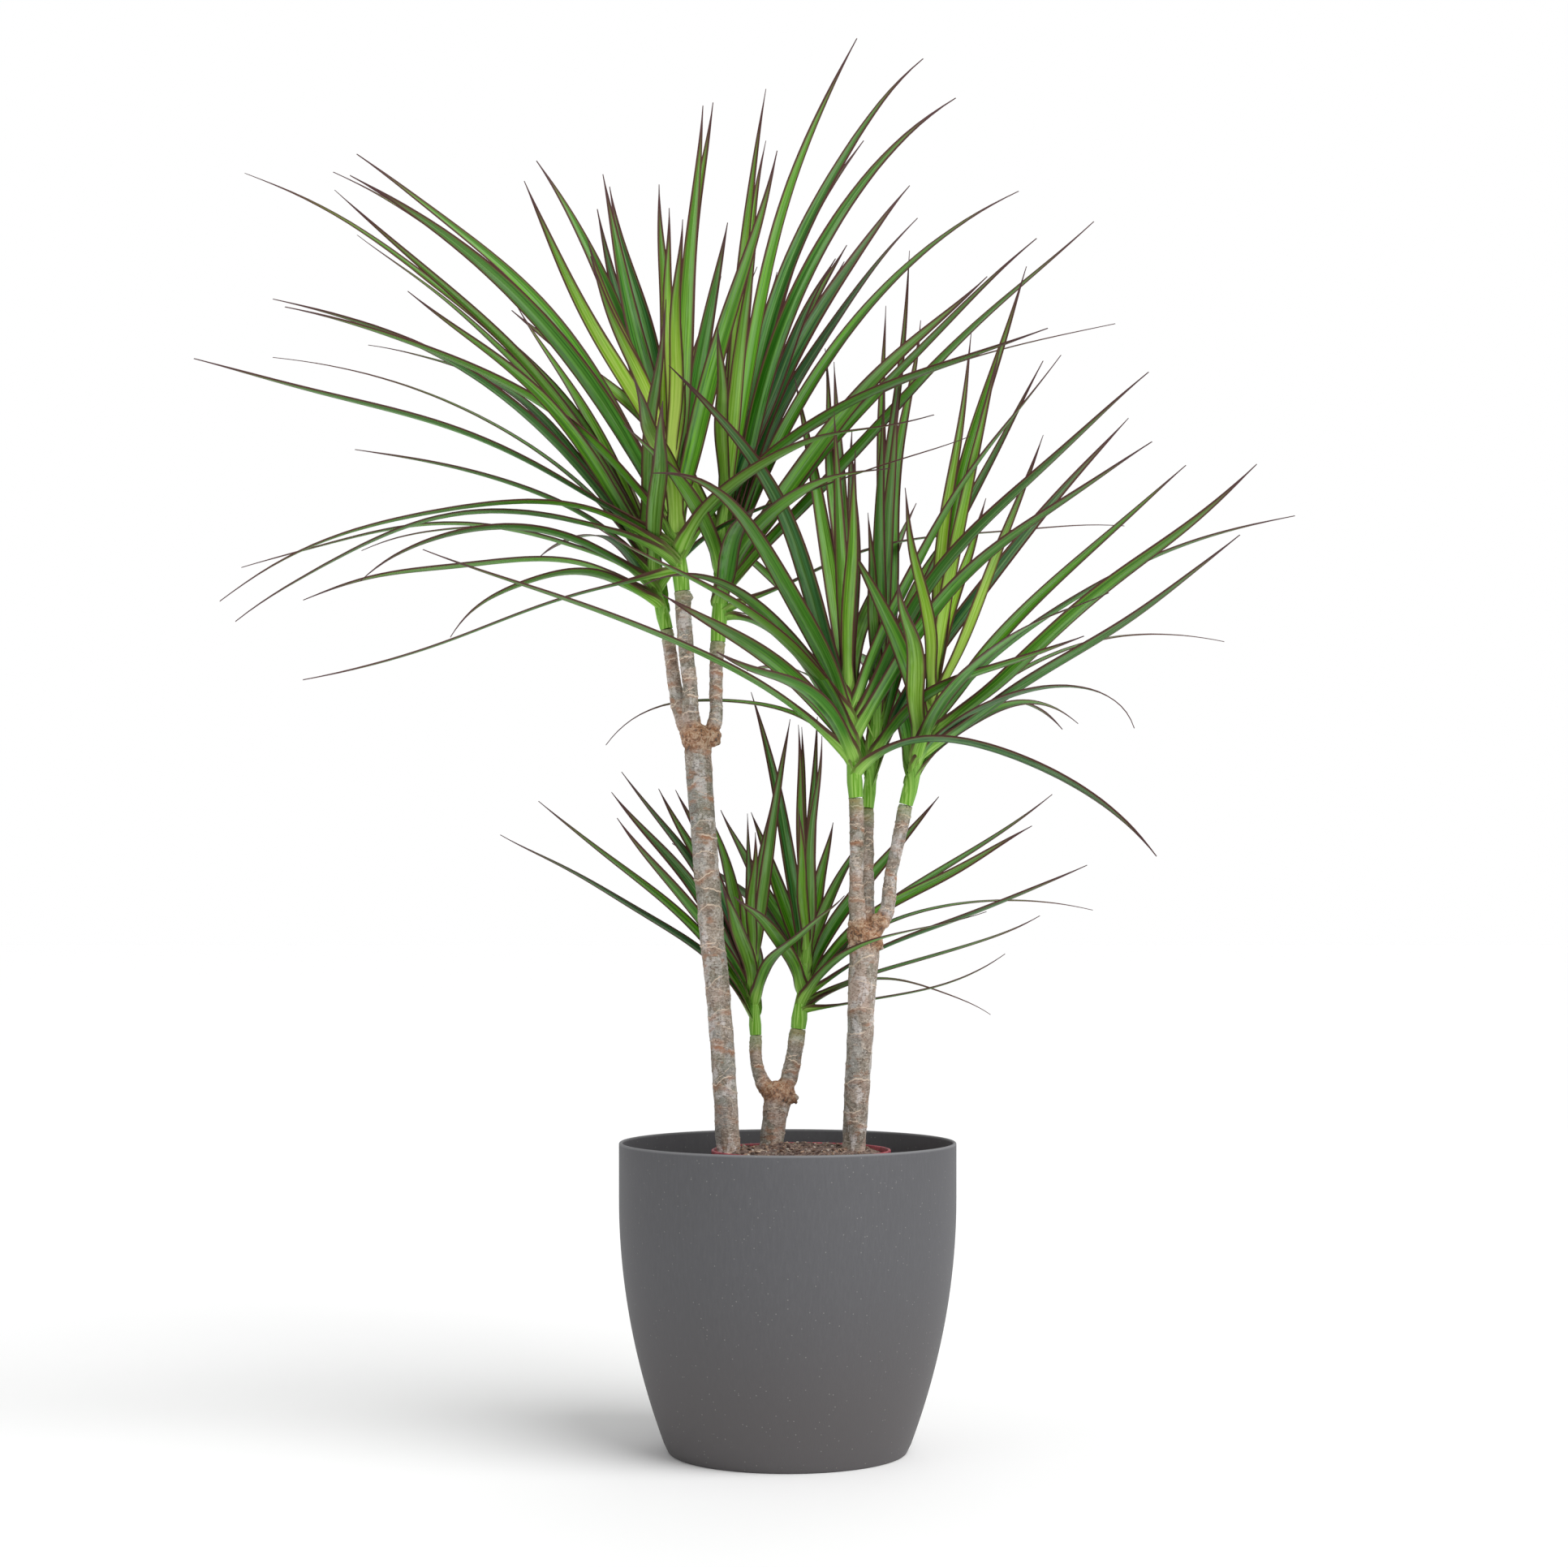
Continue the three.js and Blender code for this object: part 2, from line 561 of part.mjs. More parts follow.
plant.add(mesh("cover_pot", pot, POT_GREY));
plant.add(mesh("nursery_pot", nursery, NURSERY_RED));
plant.add(mesh("soil", bed, PEAT));
for (const { name, solid: wood } of canes) plant.add(mesh(name, wood, BARK));
for (const { name, solid: leaves } of heads) plant.add(mesh(name, leaves, LEAF_GREEN));

export default plant;
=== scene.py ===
"""The looks of a potted dracaena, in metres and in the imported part's own frame: a grey cover pot, a red
nursery pot with peat and bark, three bare canes, and eight heads of long narrow leaves."""

import math
import random

import bpy
import numpy as np
from mathutils import Matrix, Quaternion, Vector, kdtree


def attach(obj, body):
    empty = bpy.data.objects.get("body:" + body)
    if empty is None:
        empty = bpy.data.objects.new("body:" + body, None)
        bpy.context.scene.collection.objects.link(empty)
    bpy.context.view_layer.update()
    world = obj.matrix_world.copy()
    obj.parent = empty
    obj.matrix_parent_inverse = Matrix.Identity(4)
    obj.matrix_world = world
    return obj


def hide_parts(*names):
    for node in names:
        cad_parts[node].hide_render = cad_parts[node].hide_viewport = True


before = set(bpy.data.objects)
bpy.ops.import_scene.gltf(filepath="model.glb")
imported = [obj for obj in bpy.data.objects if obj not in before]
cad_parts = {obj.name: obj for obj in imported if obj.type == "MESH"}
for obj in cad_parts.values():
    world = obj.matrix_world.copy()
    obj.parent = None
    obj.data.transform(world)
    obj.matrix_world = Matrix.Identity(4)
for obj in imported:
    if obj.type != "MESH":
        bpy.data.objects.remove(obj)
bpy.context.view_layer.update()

MM = 0.001
UP = Vector((0, 0, 1))
GOLDEN_ANGLE = 137.5  # degrees from one leaf, or leaf scar, to the next

# -------- driving sizes, in millimetres

POT = {"foot": 107, "rim": 150, "shoulder": 225, "height": 275, "wall": 3, "floor": 4, "edge": 2.5}
NURSERY = {"x": 12, "y": 2, "rim": 80, "foot": 67, "top": 268, "wall": 1.6, "lip": 3, "lip_height": 9}
SOIL = {"edge": 263, "crown": 271, "lump": 1.6, "crumble": 0.8, "rings": 34}
CLEARANCE = 0.3  # between two pieces that touch
CORE_TIP_RADIUS = 3.2  # of a head's stem
HUB = 2  # radius of the face that closes the middle of a turned piece
MERGE = 0.01  # two places nearer than this are one
NURSERY_FOOT_Z = POT["floor"] + CLEARANCE
NURSERY_LIP_Z = NURSERY["top"] - NURSERY["lip_height"]

# The camera stood level with the lower canes, and its frame was shifted up to hold the whole plant.
PHOTO = {"side": 1932, "axis_column": 970.5, "horizon_row": 1138, "focal": 3391}
CAMERA = {"distance": 2450, "height": 469, "sensor": 36}

# The plant is described as it is seen from this point: a leaf's tip at (x, z) in the plane of the pot's
# axis, and y behind it, lies further out by y's share of the distance.
EYE = {"x": -3, "distance": CAMERA["distance"], "height": CAMERA["height"]}

# A cane's points are [x, y, z, radius]. A knot is a centre and three radii, and so is the stub of a twig
# that was cut off.
CANES = {
  "cane_tall": {
    "trunk": [
      [-44, 0, 186, 10], [-52.6, -4, 269, 10.6], [-56.2, -3, 330, 10.6],
      [-61.3, 0, 399, 10.8], [-68.5, 4, 470, 11.2], [-76.4, 8, 569, 11.4],
      [-79.7, 10, 612, 12], [-80.5, 10, 642, 12.5],
    ],
    "branches": {
      "left": [
        [-84, 10, 632, 9], [-95, 12, 655, 7], [-100.6, 13, 681, 6.1],
        [-104, 13, 705, 5.9], [-108.2, 12, 732, 6],
      ],
      "middle": [
        [-82, 8, 636, 9], [-86.5, 4, 655, 7.4], [-87, 1, 681, 6.7],
        [-90, -4, 708, 6.9], [-93.5, -8, 764, 7.2],
      ],
      "right": [
        [-74, 10, 634, 8], [-66, 11, 646, 6.4], [-64, 12, 681, 5.9],
        [-63.5, 13, 705, 6.2], [-62.4, 14, 721, 6.9],
      ],
    },
    "knots": [[[-81, 9, 636], [15.5, 14.5, 13]], [[-68, 10, 636], [10, 9, 10]]],
    "stubs": [[[-90, -13, 758], [6.5, 6, 5]]],
  },
  "cane_middle": {
    "trunk": [
      [57, -4, 180, 10.2], [58.8, -5, 270, 10.4], [61.6, -6, 322, 11.2],
      [64.4, -7, 370, 11.6], [65.5, -8, 405, 12.2], [67.8, -8, 440, 13.4],
      [67.5, -8, 466, 13],
    ],
    "branches": {
      "left": [
        [63, -9, 462, 9], [61.4, -12, 482, 7.6], [60.6, -16, 505, 6.3],
        [61.3, -19, 548, 6.4], [60.3, -22, 580, 6.7],
      ],
      "middle": [
        [70, -4, 464, 8], [71, 1, 485, 6.4], [71.4, 4, 510, 5.6],
        [71.4, 7, 548, 5.5], [71.4, 8, 572, 5.7],
      ],
      "right": [
        [76, -8, 462, 8], [87, -9, 478, 6.8], [91, -10, 509, 5.6],
        [96, -12, 533, 5.7], [104.5, -14, 574, 6.5],
      ],
    },
    "knots": [
      [[67.5, -8, 458], [16.5, 14, 15]], [[81, -10, 470], [9, 9, 9]],
      [[80.5, -16, 452], [4.5, 4, 7]],
    ],
  },
  "cane_short": {
    "trunk": [
      [-15.5, 29, 190, 10.8], [-13.8, 29, 278, 11], [-11.6, 29, 293, 11],
      [-10, 29, 306, 12], [-8, 29, 320, 13],
    ],
    "branches": {
      "left": [[-14, 30, 314, 9], [-24, 32, 329, 6.4], [-28.4, 34, 346, 5.7], [-28.8, 36, 368, 5.5]],
      "right": [[-6, 29, 314, 9], [1, 29, 329, 7.8], [5, 29, 347, 7.3], [9.5, 30, 374, 7.2]],
    },
    "knots": [[[-8.5, 29, 317], [16, 13.5, 11.5]], [[4, 28, 312], [6, 6, 6]]],
  },
}

# A head's leaves are rows of [across, toward the camera, rise, hang, twist] and sometimes the lean at the
# root: where a tip lies from the foot of its stem, in millimetres, and how its blade turns, in degrees.
HEADS = {
  "head_tall_left": {
    "cane": "cane_tall", "branch": "left", "top": [-130, 20, 815],
    "width": 15.5, "fill": 6, "length": 360, "seed": 11,
    "leaves": [
      [-375, -60, 405, 20, 40], [-295, 40, 390, 8, 70], [-275, -120, 350, 10, 10],
      [-234, -180, 326, 10, 15], [-230, 150, 300, 14, 20], [-350, 60, 293, 26, 15],
      [-265, -150, 252, 28, 10], [-350, -40, 241, 24, 10], [-277, 60, 159, 16, 8],
      [-378, 90, 54, 22, 6, 50], [-272, 120, 42, 45, 30], [-271, -90, 69, 30, 5],
      [-323, 110, 25, 20, 25, 55], [-192, 170, -8, 42, 45, 58], [-113, -260, 63, 30, 0],
    ],
  },
  "head_tall_middle": {
    "cane": "cane_tall", "branch": "middle", "top": [-104.5, -12, 868],
    "width": 18, "fill": 5, "length": 380, "seed": 22,
    "leaves": [
      [3, 60, 188, 5, 20], [-82, 120, 299, -2, 40], [-85, 60, 315, -2, 50], [-12, 40, 342, 3, 10],
      [-141, 70, 366, -5, 60], [-21, -60, 363, -3, 20], [27, -30, 436, 4, 30], [18, 30, 433, 0, 20],
      [-71, -90, 372, -4, 40], [-65, -150, 361, 2, 30], [-76, -110, 341, -6, 60], [-130, -170, 384, 14, 10],
      [84, 90, 393, -3, 30], [40, -80, 329, 2, 20], [-290, -70, 390, 16, 40], [-296, 60, 371, 22, 75],
      [-311, -140, 374, 20, 10], [-354, 90, 254, 22, 10], [-435, 30, 208, 8, 15, 50],
      [325, 20, 235, 14, 20], [385, -110, 239, 16, 5], [-412, 110, -8, 32, 8], [-398, 60, -26, 34, 8],
      [-338, 60, -78, -6, 12, 98],
    ],
  },
  "head_tall_right": {
    "cane": "cane_tall", "branch": "right", "top": [-56, 18, 853],
    "width": 17.5, "fill": 5, "length": 380, "seed": 33,
    "leaves": [
      [43, -40, 491, 5, 30], [43, -120, 445, 8, 10], [33, -160, 424, 8, 10], [36, 60, 375, 4, 20],
      [53, -150, 328, 4, 30], [77, -90, 368, 6, 40], [124, 0, 536, 15, 50], [105, 110, 340, 8, 50],
      [115, -100, 352, 8, 40], [183, -120, 518, 26, 30], [212, -30, 483, 30, 60], [130, -200, 445, 20, 0],
      [171, 70, 405, 16, 75], [178, -150, 376, 14, 0], [268, -60, 400, 26, 25], [284, -20, 358, 8, 40, 34],
      [335, -110, 373, 4, 20, 40], [240, 50, 324, 8, 80], [33, 150, 118, 25, 30],
      [362, -120, 102, 14, 10, 60], [101, -60, -78, 40, 10, 70],
    ],
  },
  "head_middle_left": {
    "cane": "cane_middle", "branch": "left", "top": [52, -26, 680],
    "width": 17.5, "fill": 5, "length": 350, "seed": 44,
    "leaves": [
      [-19, 60, 345, 0, 15], [-27, -40, 401, 2, 30], [-19, -150, 389, 4, 0], [-54, -60, 375, 3, 40],
      [-3, -170, 328, 2, 20], [-166, 110, 386, 26, 45], [183, 30, 395, 10, 0], [-180, 150, 290, 50, 30],
      [261, 60, 380, 13, 20], [264, 90, 318, 16, 15], [-189, 130, 190, 62, 20, 12],
      [-172, 150, 182, 10, 60], [-385, 90, 222, 6, 10, 40], [-222, -90, 48, 58, 20, 20],
      [268, 110, -51, 38, 50, 35],
    ],
  },
  "head_middle_back": {
    "cane": "cane_middle", "branch": "middle", "top": [82, 14, 673],
    "width": 15.5, "fill": 6, "length": 350, "seed": 55,
    "leaves": [
      [37, -60, 496, 3, 0], [16, -140, 447, 2, 0], [47, -180, 434, 3, 10], [14, 40, 372, 0, 60],
      [27, 20, 375, 0, 50], [156, -90, 398, 6, 20], [232, -50, 347, 6, 75],
    ],
  },
  "head_middle_right": {
    "cane": "cane_middle", "branch": "right", "top": [129, -18, 665],
    "width": 16.5, "fill": 6, "length": 350, "seed": 66,
    "leaves": [
      [123, 30, 330, -2, 60, 24], [59, -30, 422, 2, 75], [85, 40, 410, 3, 75], [108, -40, 480, 8, 50],
      [-52, 110, 235, 12, 20], [250, -80, 303, 6, 20, 34], [313, 60, 304, -2, 60, 46],
      [347, 20, 258, 22, 10], [298, 110, 241, -6, 20, 52], [284, -100, 146, 32, 10],
      [204, 100, 69, 82, 10, 15], [154, -120, 73, 50, 40], [140, -190, 68, 48, 5],
    ],
  },
  "head_short_left": {
    "cane": "cane_short", "branch": "left", "top": [-32.4, 40, 435],
    "width": 14, "fill": 6, "length": 240, "seed": 77,
    "leaves": [
      [-15, 20, 134, 2, 40], [-7, -60, 199, 2, 70], [31, 20, 283, 2, 50], [-71, -60, 220, 4, 40],
      [-86, -100, 221, 4, 30], [-119, -120, 236, 8, 0], [-128, -20, 218, 6, 75], [-123, 10, 195, 0, 60],
      [-193, -30, 210, 4, 20], [-227, -60, 180, 6, 10],
    ],
  },
  "head_short_right": {
    "cane": "cane_short", "branch": "right", "top": [17.3, 32, 442],
    "width": 14.5, "fill": 5, "length": 240, "seed": 88,
    "leaves": [
      [0, 30, 272, 1, 20], [3, -90, 270, 2, 20], [21, 60, 262, 2, 60], [17, -50, 279, 1, 50],
      [-42, -30, 301, 8, 60], [-42, -120, 194, 2, 40], [-69, -150, 196, -4, 0], [31, -100, 185, 2, 20],
      [125, -60, 208, 4, 50], [226, -110, 210, 0, 10, 36], [208, -20, 182, 6, 60],
      [257, 20, 147, 0, 30, 48], [262, -80, 107, 30, 10, 22], [215, -140, 102, -8, 5, 58],
      [184, 50, 68, -20, 5, 75], [171, -40, 14, 34, 10, 30],
    ],
  },
}

# -------- working by hand


def deselect():
    bpy.ops.object.select_all(action="DESELECT")


def pick(*objects):
    """Selects these objects alone, the first as the active one."""
    deselect()
    for each in objects:
        each.select_set(True)
    bpy.context.view_layer.objects.active = objects[0]


def joined(name, objects):
    pick(*objects)
    if len(objects) > 1:
        bpy.ops.object.join()
    piece = bpy.context.object
    piece.name = piece.data.name = name
    bpy.ops.object.transform_apply(location=True, rotation=True, scale=True)
    return piece


def apply_modifier(piece, kind, **settings):
    modifier = piece.modifiers.new(kind.title(), kind)
    for key, value in settings.items():
        setattr(modifier, key, value)
    pick(piece)
    bpy.ops.object.modifier_apply(modifier=modifier.name)


def edit_all():
    bpy.ops.object.mode_set(mode="EDIT")
    bpy.ops.mesh.select_all(action="SELECT")


def leave_edit():
    bpy.ops.object.mode_set(mode="OBJECT")


def choose(piece, test):
    """In edit mode, selects the vertices whose place passes the test."""
    leave_edit()
    piece.data.polygons.foreach_set("select", [False] * len(piece.data.polygons))
    piece.data.edges.foreach_set("select", [False] * len(piece.data.edges))
    piece.data.vertices.foreach_set("select", [bool(test(v.co)) for v in piece.data.vertices])
    bpy.ops.object.mode_set(mode="EDIT")


def outward(piece, weld=True):
    """Turns every face outward, after vertices that meet are merged."""
    pick(piece)
    edit_all()
    if weld:
        bpy.ops.mesh.remove_doubles(threshold=MERGE * MM)
    bpy.ops.mesh.normals_make_consistent(inside=False)
    leave_edit()


def copied(piece):
    copy = piece.copy()
    copy.data = piece.data.copy()
    bpy.context.collection.objects.link(copy)
    return copy


def smooth_by_angle(piece, degrees):
    pick(piece)
    bpy.ops.object.shade_smooth_by_angle(angle=math.radians(degrees))


def stand_for(piece, node):
    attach(piece, "root")
    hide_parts(node)


def mix(a, b, t):
    return a + (b - a) * t


def eased(t):
    t = min(1, max(0, t))
    return t * t * (3 - 2 * t)


def turned(name, profile, centre, sides):
    """Turns an open profile of (radius, height) in millimetres, extruding a ring of edges along it."""
    (first, low), rest = profile[0], profile[1:]
    deselect()
    bpy.ops.mesh.primitive_circle_add(vertices=sides, radius=first * MM, location=(0, 0, low * MM))
    piece = bpy.context.object
    bpy.ops.object.transform_apply(location=True)
    edit_all()
    bpy.ops.mesh.select_mode(type="EDGE")
    radius, height = first, low
    for r, z in rest:
        bpy.ops.mesh.extrude_region_move(TRANSFORM_OT_translate={"value": (0, 0, (z - height) * MM)})
        share = r / radius
        bpy.ops.transform.resize(value=(share, share, 1), center_override=(0, 0, z * MM))
        radius, height = r, z
    bpy.ops.mesh.edge_face_add()
    bpy.ops.mesh.select_mode(type="VERT")
    choose(piece, lambda co: abs(co.z - low * MM) < MERGE * MM and co.xy.length < (first + MERGE) * MM)
    bpy.ops.mesh.edge_face_add()
    leave_edit()
    outward(piece)
    piece.location = (centre[0] * MM, centre[1] * MM, 0)
    return joined(name, [piece])


def arc(centre, radius, start, end, steps):
    """Points on a round corner of a profile, by angle in degrees."""
    turns = [math.radians(mix(start, end, k / steps)) for k in range(steps + 1)]
    return [(centre[0] + radius * math.cos(a), centre[1] + radius * math.sin(a)) for a in turns]


# -------- pots and soil


def pot_side(steps):
    """The wall's outline: a quadratic curve from the foot that ends upright at the shoulder."""
    for k in range(1, steps + 1):
        t = k / steps
        rise = POT["shoulder"] * t
        yield POT["foot"] + (POT["rim"] - POT["foot"]) * (1 - (1 - t) ** 2), rise


def make_cover_pot():
    foot, rim, wall, height, edge = (POT[key] for key in ("foot", "rim", "wall", "height", "edge"))
    floor, lip = POT["floor"], wall / 2
    underside, corner = foot - 12, 4
    collar = (POT["shoulder"] + height) / 2
    heel = arc((foot - edge, edge), edge, -90, -20, steps=4)
    outside = [p for p in pot_side(steps=26) if p[1] > 2 * edge]
    top = arc((rim - lip, height - lip), lip, 0, 180, steps=8)
    inside = [(r - wall, z) for r, z in reversed(outside)]
    well = foot - wall - 1
    profile = [(HUB, 0), (underside, 0), *heel, *outside, (rim, collar), *top, (rim - wall, collar), *inside]
    profile += [(well, floor + corner), (well - corner, floor), (HUB, floor)]
    return turned("cover_pot_shell", profile, (0, 0), sides=128)


def nursery_neck():
    """The nursery pot's radius just under its lip."""
    share = (NURSERY_LIP_Z - NURSERY_FOOT_Z) / (NURSERY["top"] - NURSERY_FOOT_Z)
    return mix(NURSERY["foot"], NURSERY["rim"], share) - NURSERY["lip"]


def make_nursery_pot():
    rim, wall, under, neck = NURSERY["rim"], NURSERY["wall"], NURSERY_LIP_Z, nursery_neck()
    sole = NURSERY["foot"] - NURSERY["lip"]
    chamfer, bead = 2, 1.2
    profile = [(HUB, NURSERY_FOOT_Z), (sole - chamfer, NURSERY_FOOT_Z), (sole, NURSERY_FOOT_Z + chamfer)]
    profile += [(neck, under), (rim - 1, under + 1), (rim - 0.4, under + chamfer)]
    profile += arc((rim - bead, NURSERY["top"] - bead), bead, 0, 180, steps=6)
    profile += [(rim - 2 * bead, under + 1), (neck - wall, under - wall)]
    inner = NURSERY_FOOT_Z + 2 * wall
    profile += [(sole - wall, inner), (HUB, inner)]
    return turned("nursery_pot_shell", profile, (NURSERY["x"], NURSERY["y"]), sides=96)


def soil_edge():
    """The soil's radius at its top."""
    return nursery_neck() - NURSERY["wall"] - CLEARANCE


def mound_height(x, y):
    """The soil's height in millimetres, x and y from the nursery pot's centre. Its lumps are the solid's."""
    share = min(1, math.hypot(x, y) / soil_edge())
    lumps = math.sin(x / 6.1 + 1) * math.cos(y / 5.3) + 0.6 * math.sin((x + 2 * y) / 4.7)
    return mix(SOIL["crown"], SOIL["edge"], share**2) + SOIL["lump"] * lumps


def make_soil():
    low = POT["floor"] + 2 * CLEARANCE + 2 * NURSERY["wall"]
    foot = NURSERY["foot"] - NURSERY["lip"] - NURSERY["wall"] - CLEARANCE
    edge, under, rings = soil_edge(), NURSERY_LIP_Z - 2, SOIL["rings"]
    profile = [(HUB, low), (foot, low), (edge, under)]
    profile += [(edge * (1 - k / rings) + 1, SOIL["edge"]) for k in range(rings)]
    piece = turned("peat_mix", profile, (NURSERY["x"], NURSERY["y"]), sides=128)
    rough = random.Random(5)
    for v in piece.data.vertices:
        x, y = v.co.x / MM - NURSERY["x"], v.co.y / MM - NURSERY["y"]
        if v.co.z / MM > under + 1:
            v.co.z = (mound_height(x, y) + rough.uniform(-SOIL["crumble"], SOIL["crumble"])) * MM
    return piece


# -------- canes


# How far apart leaf scars are and how much they slant, in millimetres.
TRUNK_SCARS = (13, 7)
BRANCH_SCARS = (6.5, 3)

BARK_VOXEL = 0.9  # millimetres between the bark's vertices
YOUNG_TOP = 30  # millimetres of each branch's top that are greenish
KNOT_FILLED = 0.92  # of a knot's radii; the small lumps on it make up the rest

# Small lumps that roughen a knot: how far from its centre and how large, as shares of its radii.
LUMPS = {"count": 5, "spread": 0.75, "size": (0.28, 0.42), "stretch": (0.8, 1.5)}


def sweep(points, smooth=4):
    """A stem swept through [x, y, z, radius] points."""
    deselect()
    bpy.ops.curve.primitive_bezier_curve_add(location=(0, 0, 0))
    stem = bpy.context.object
    curve = stem.data
    curve.bevel_depth = MM
    curve.bevel_resolution = smooth
    curve.resolution_u = 10
    curve.use_fill_caps = True
    spline = curve.splines[0]
    spline.bezier_points.add(len(points) - 2)
    for bezier, (x, y, z, radius) in zip(spline.bezier_points, points):
        bezier.co = Vector((x, y, z)) * MM
        bezier.radius = radius
        bezier.handle_left_type = bezier.handle_right_type = "AUTO"
    bpy.ops.object.convert(target="MESH")
    return bpy.context.object


def knot(centre, radii):
    deselect()
    bpy.ops.mesh.primitive_uv_sphere_add(segments=24, ring_count=16, radius=1)
    lump = bpy.context.object
    lump.scale = Vector(radii) * MM
    lump.location = Vector(centre) * MM
    bpy.ops.object.transform_apply(location=True, rotation=True, scale=True)
    return lump


def stem_samples(points, steps=60, every=4):
    """Places along a stem, with the distance from its start, all in metres."""
    at = np.array([p[:3] for p in points], float) * MM
    t = np.linspace(0, len(points) - 1, steps * (len(points) - 1) + 1)
    line = np.stack([np.interp(t, range(len(points)), at[:, k]) for k in range(3)], 1)
    along = np.concatenate([[0], np.cumsum(np.linalg.norm(np.diff(line, axis=0), axis=1))])
    return line[::every], along[::every]


def hump(off, width):
    """A rounded ridge, 1 high, that many millimetres wide."""
    return np.exp(-((off / (width * MM)) ** 2))


def scar_rings(places, points, spacing, slant, draw):
    """Leaf scars: thin slanted ridges round a stem, each turned a golden angle from the last.

    Gives how strongly each place lies on a ridge, the stain round it, the tone of the bark between two
    ridges, and how far the place is from the stem's middle.
    """
    line, along = stem_samples(points)
    tangent = np.gradient(line, axis=0)
    tangent /= np.linalg.norm(tangent, axis=1, keepdims=True)
    gaps = np.linalg.norm(places[:, None] - line[None], axis=2)
    nearest = gaps.argmin(1)
    side = places - line[nearest]
    where = along[nearest] + (side * tangent[nearest]).sum(1)
    turn = np.arctan2(side[:, 1], side[:, 0])
    scars, stains, tone = (np.zeros(len(places)) for _ in range(3))
    at, phase = 0.0, draw.uniform(0, math.tau)
    while at < along[-1]:
        at += spacing * MM * draw.uniform(0.5, 1.4)
        phase += math.radians(GOLDEN_ANGLE) + draw.uniform(-0.3, 0.3)
        tilt = slant * MM * draw.uniform(0.3, 1)
        wobble = 0.4 * MM * np.sin(5 * turn + phase) + 0.3 * MM * np.sin(13 * turn - 2 * phase)
        round_it = (turn - phase + math.pi) % math.tau - math.pi
        notch = slant * 0.5 * MM * np.clip(1 - np.abs(round_it) / 0.9, 0, 1)
        off = where - at - tilt * np.sin(turn - phase) - wobble + notch
        broken = np.clip(0.8 + 0.7 * np.sin(turn + phase) + 0.3 * np.sin(3 * turn), 0.1, 1)
        ridge = broken * hump(off, draw.uniform(0.45, 0.75))
        # A steeper crack crosses part of the ring.
        steep = draw.choice((-1, 1)) * draw.uniform(0.8, 1.7) * slant * MM
        cross = where - at - steep * round_it + wobble
        part = np.clip(1.6 - np.abs(round_it - draw.uniform(-0.6, 0.6)), 0, 1)
        ridge = np.maximum(ridge, 0.8 * part * hump(cross, 0.45))
        scars = np.maximum(scars, draw.uniform(0.6, 1) * ridge)
        stains = np.maximum(stains, draw.uniform(0, 1) * broken * hump(off + 2 * MM, 2.6))
        tone = np.where(off > 0, draw.random(), tone)
    return scars, stains, tone, gaps.min(1)


def cane_body(name, spec, draw):
    solids = [sweep(points, smooth=6) for points in (spec["trunk"], *spec["branches"].values())]
    for centre, radii in spec["knots"]:
        solids.append(knot(centre, [KNOT_FILLED * r for r in radii]))
        for _ in range(LUMPS["count"]):
            off = [draw.uniform(-LUMPS["spread"], LUMPS["spread"]) * r for r in radii]
            size = draw.uniform(*LUMPS["size"]) * min(radii)
            lump = [size * draw.uniform(*LUMPS["stretch"]) for _ in off]
            solids.append(knot([c + o for c, o in zip(centre, off)], lump))
    for centre, radii in spec.get("stubs", []):
        solids.append(knot(centre, radii))
    piece = joined(name, solids)
    apply_modifier(piece, "REMESH", mode="VOXEL", voxel_size=BARK_VOXEL * MM, use_smooth_shade=True)
    apply_modifier(piece, "SMOOTH", factor=0.5, iterations=6)
    return piece


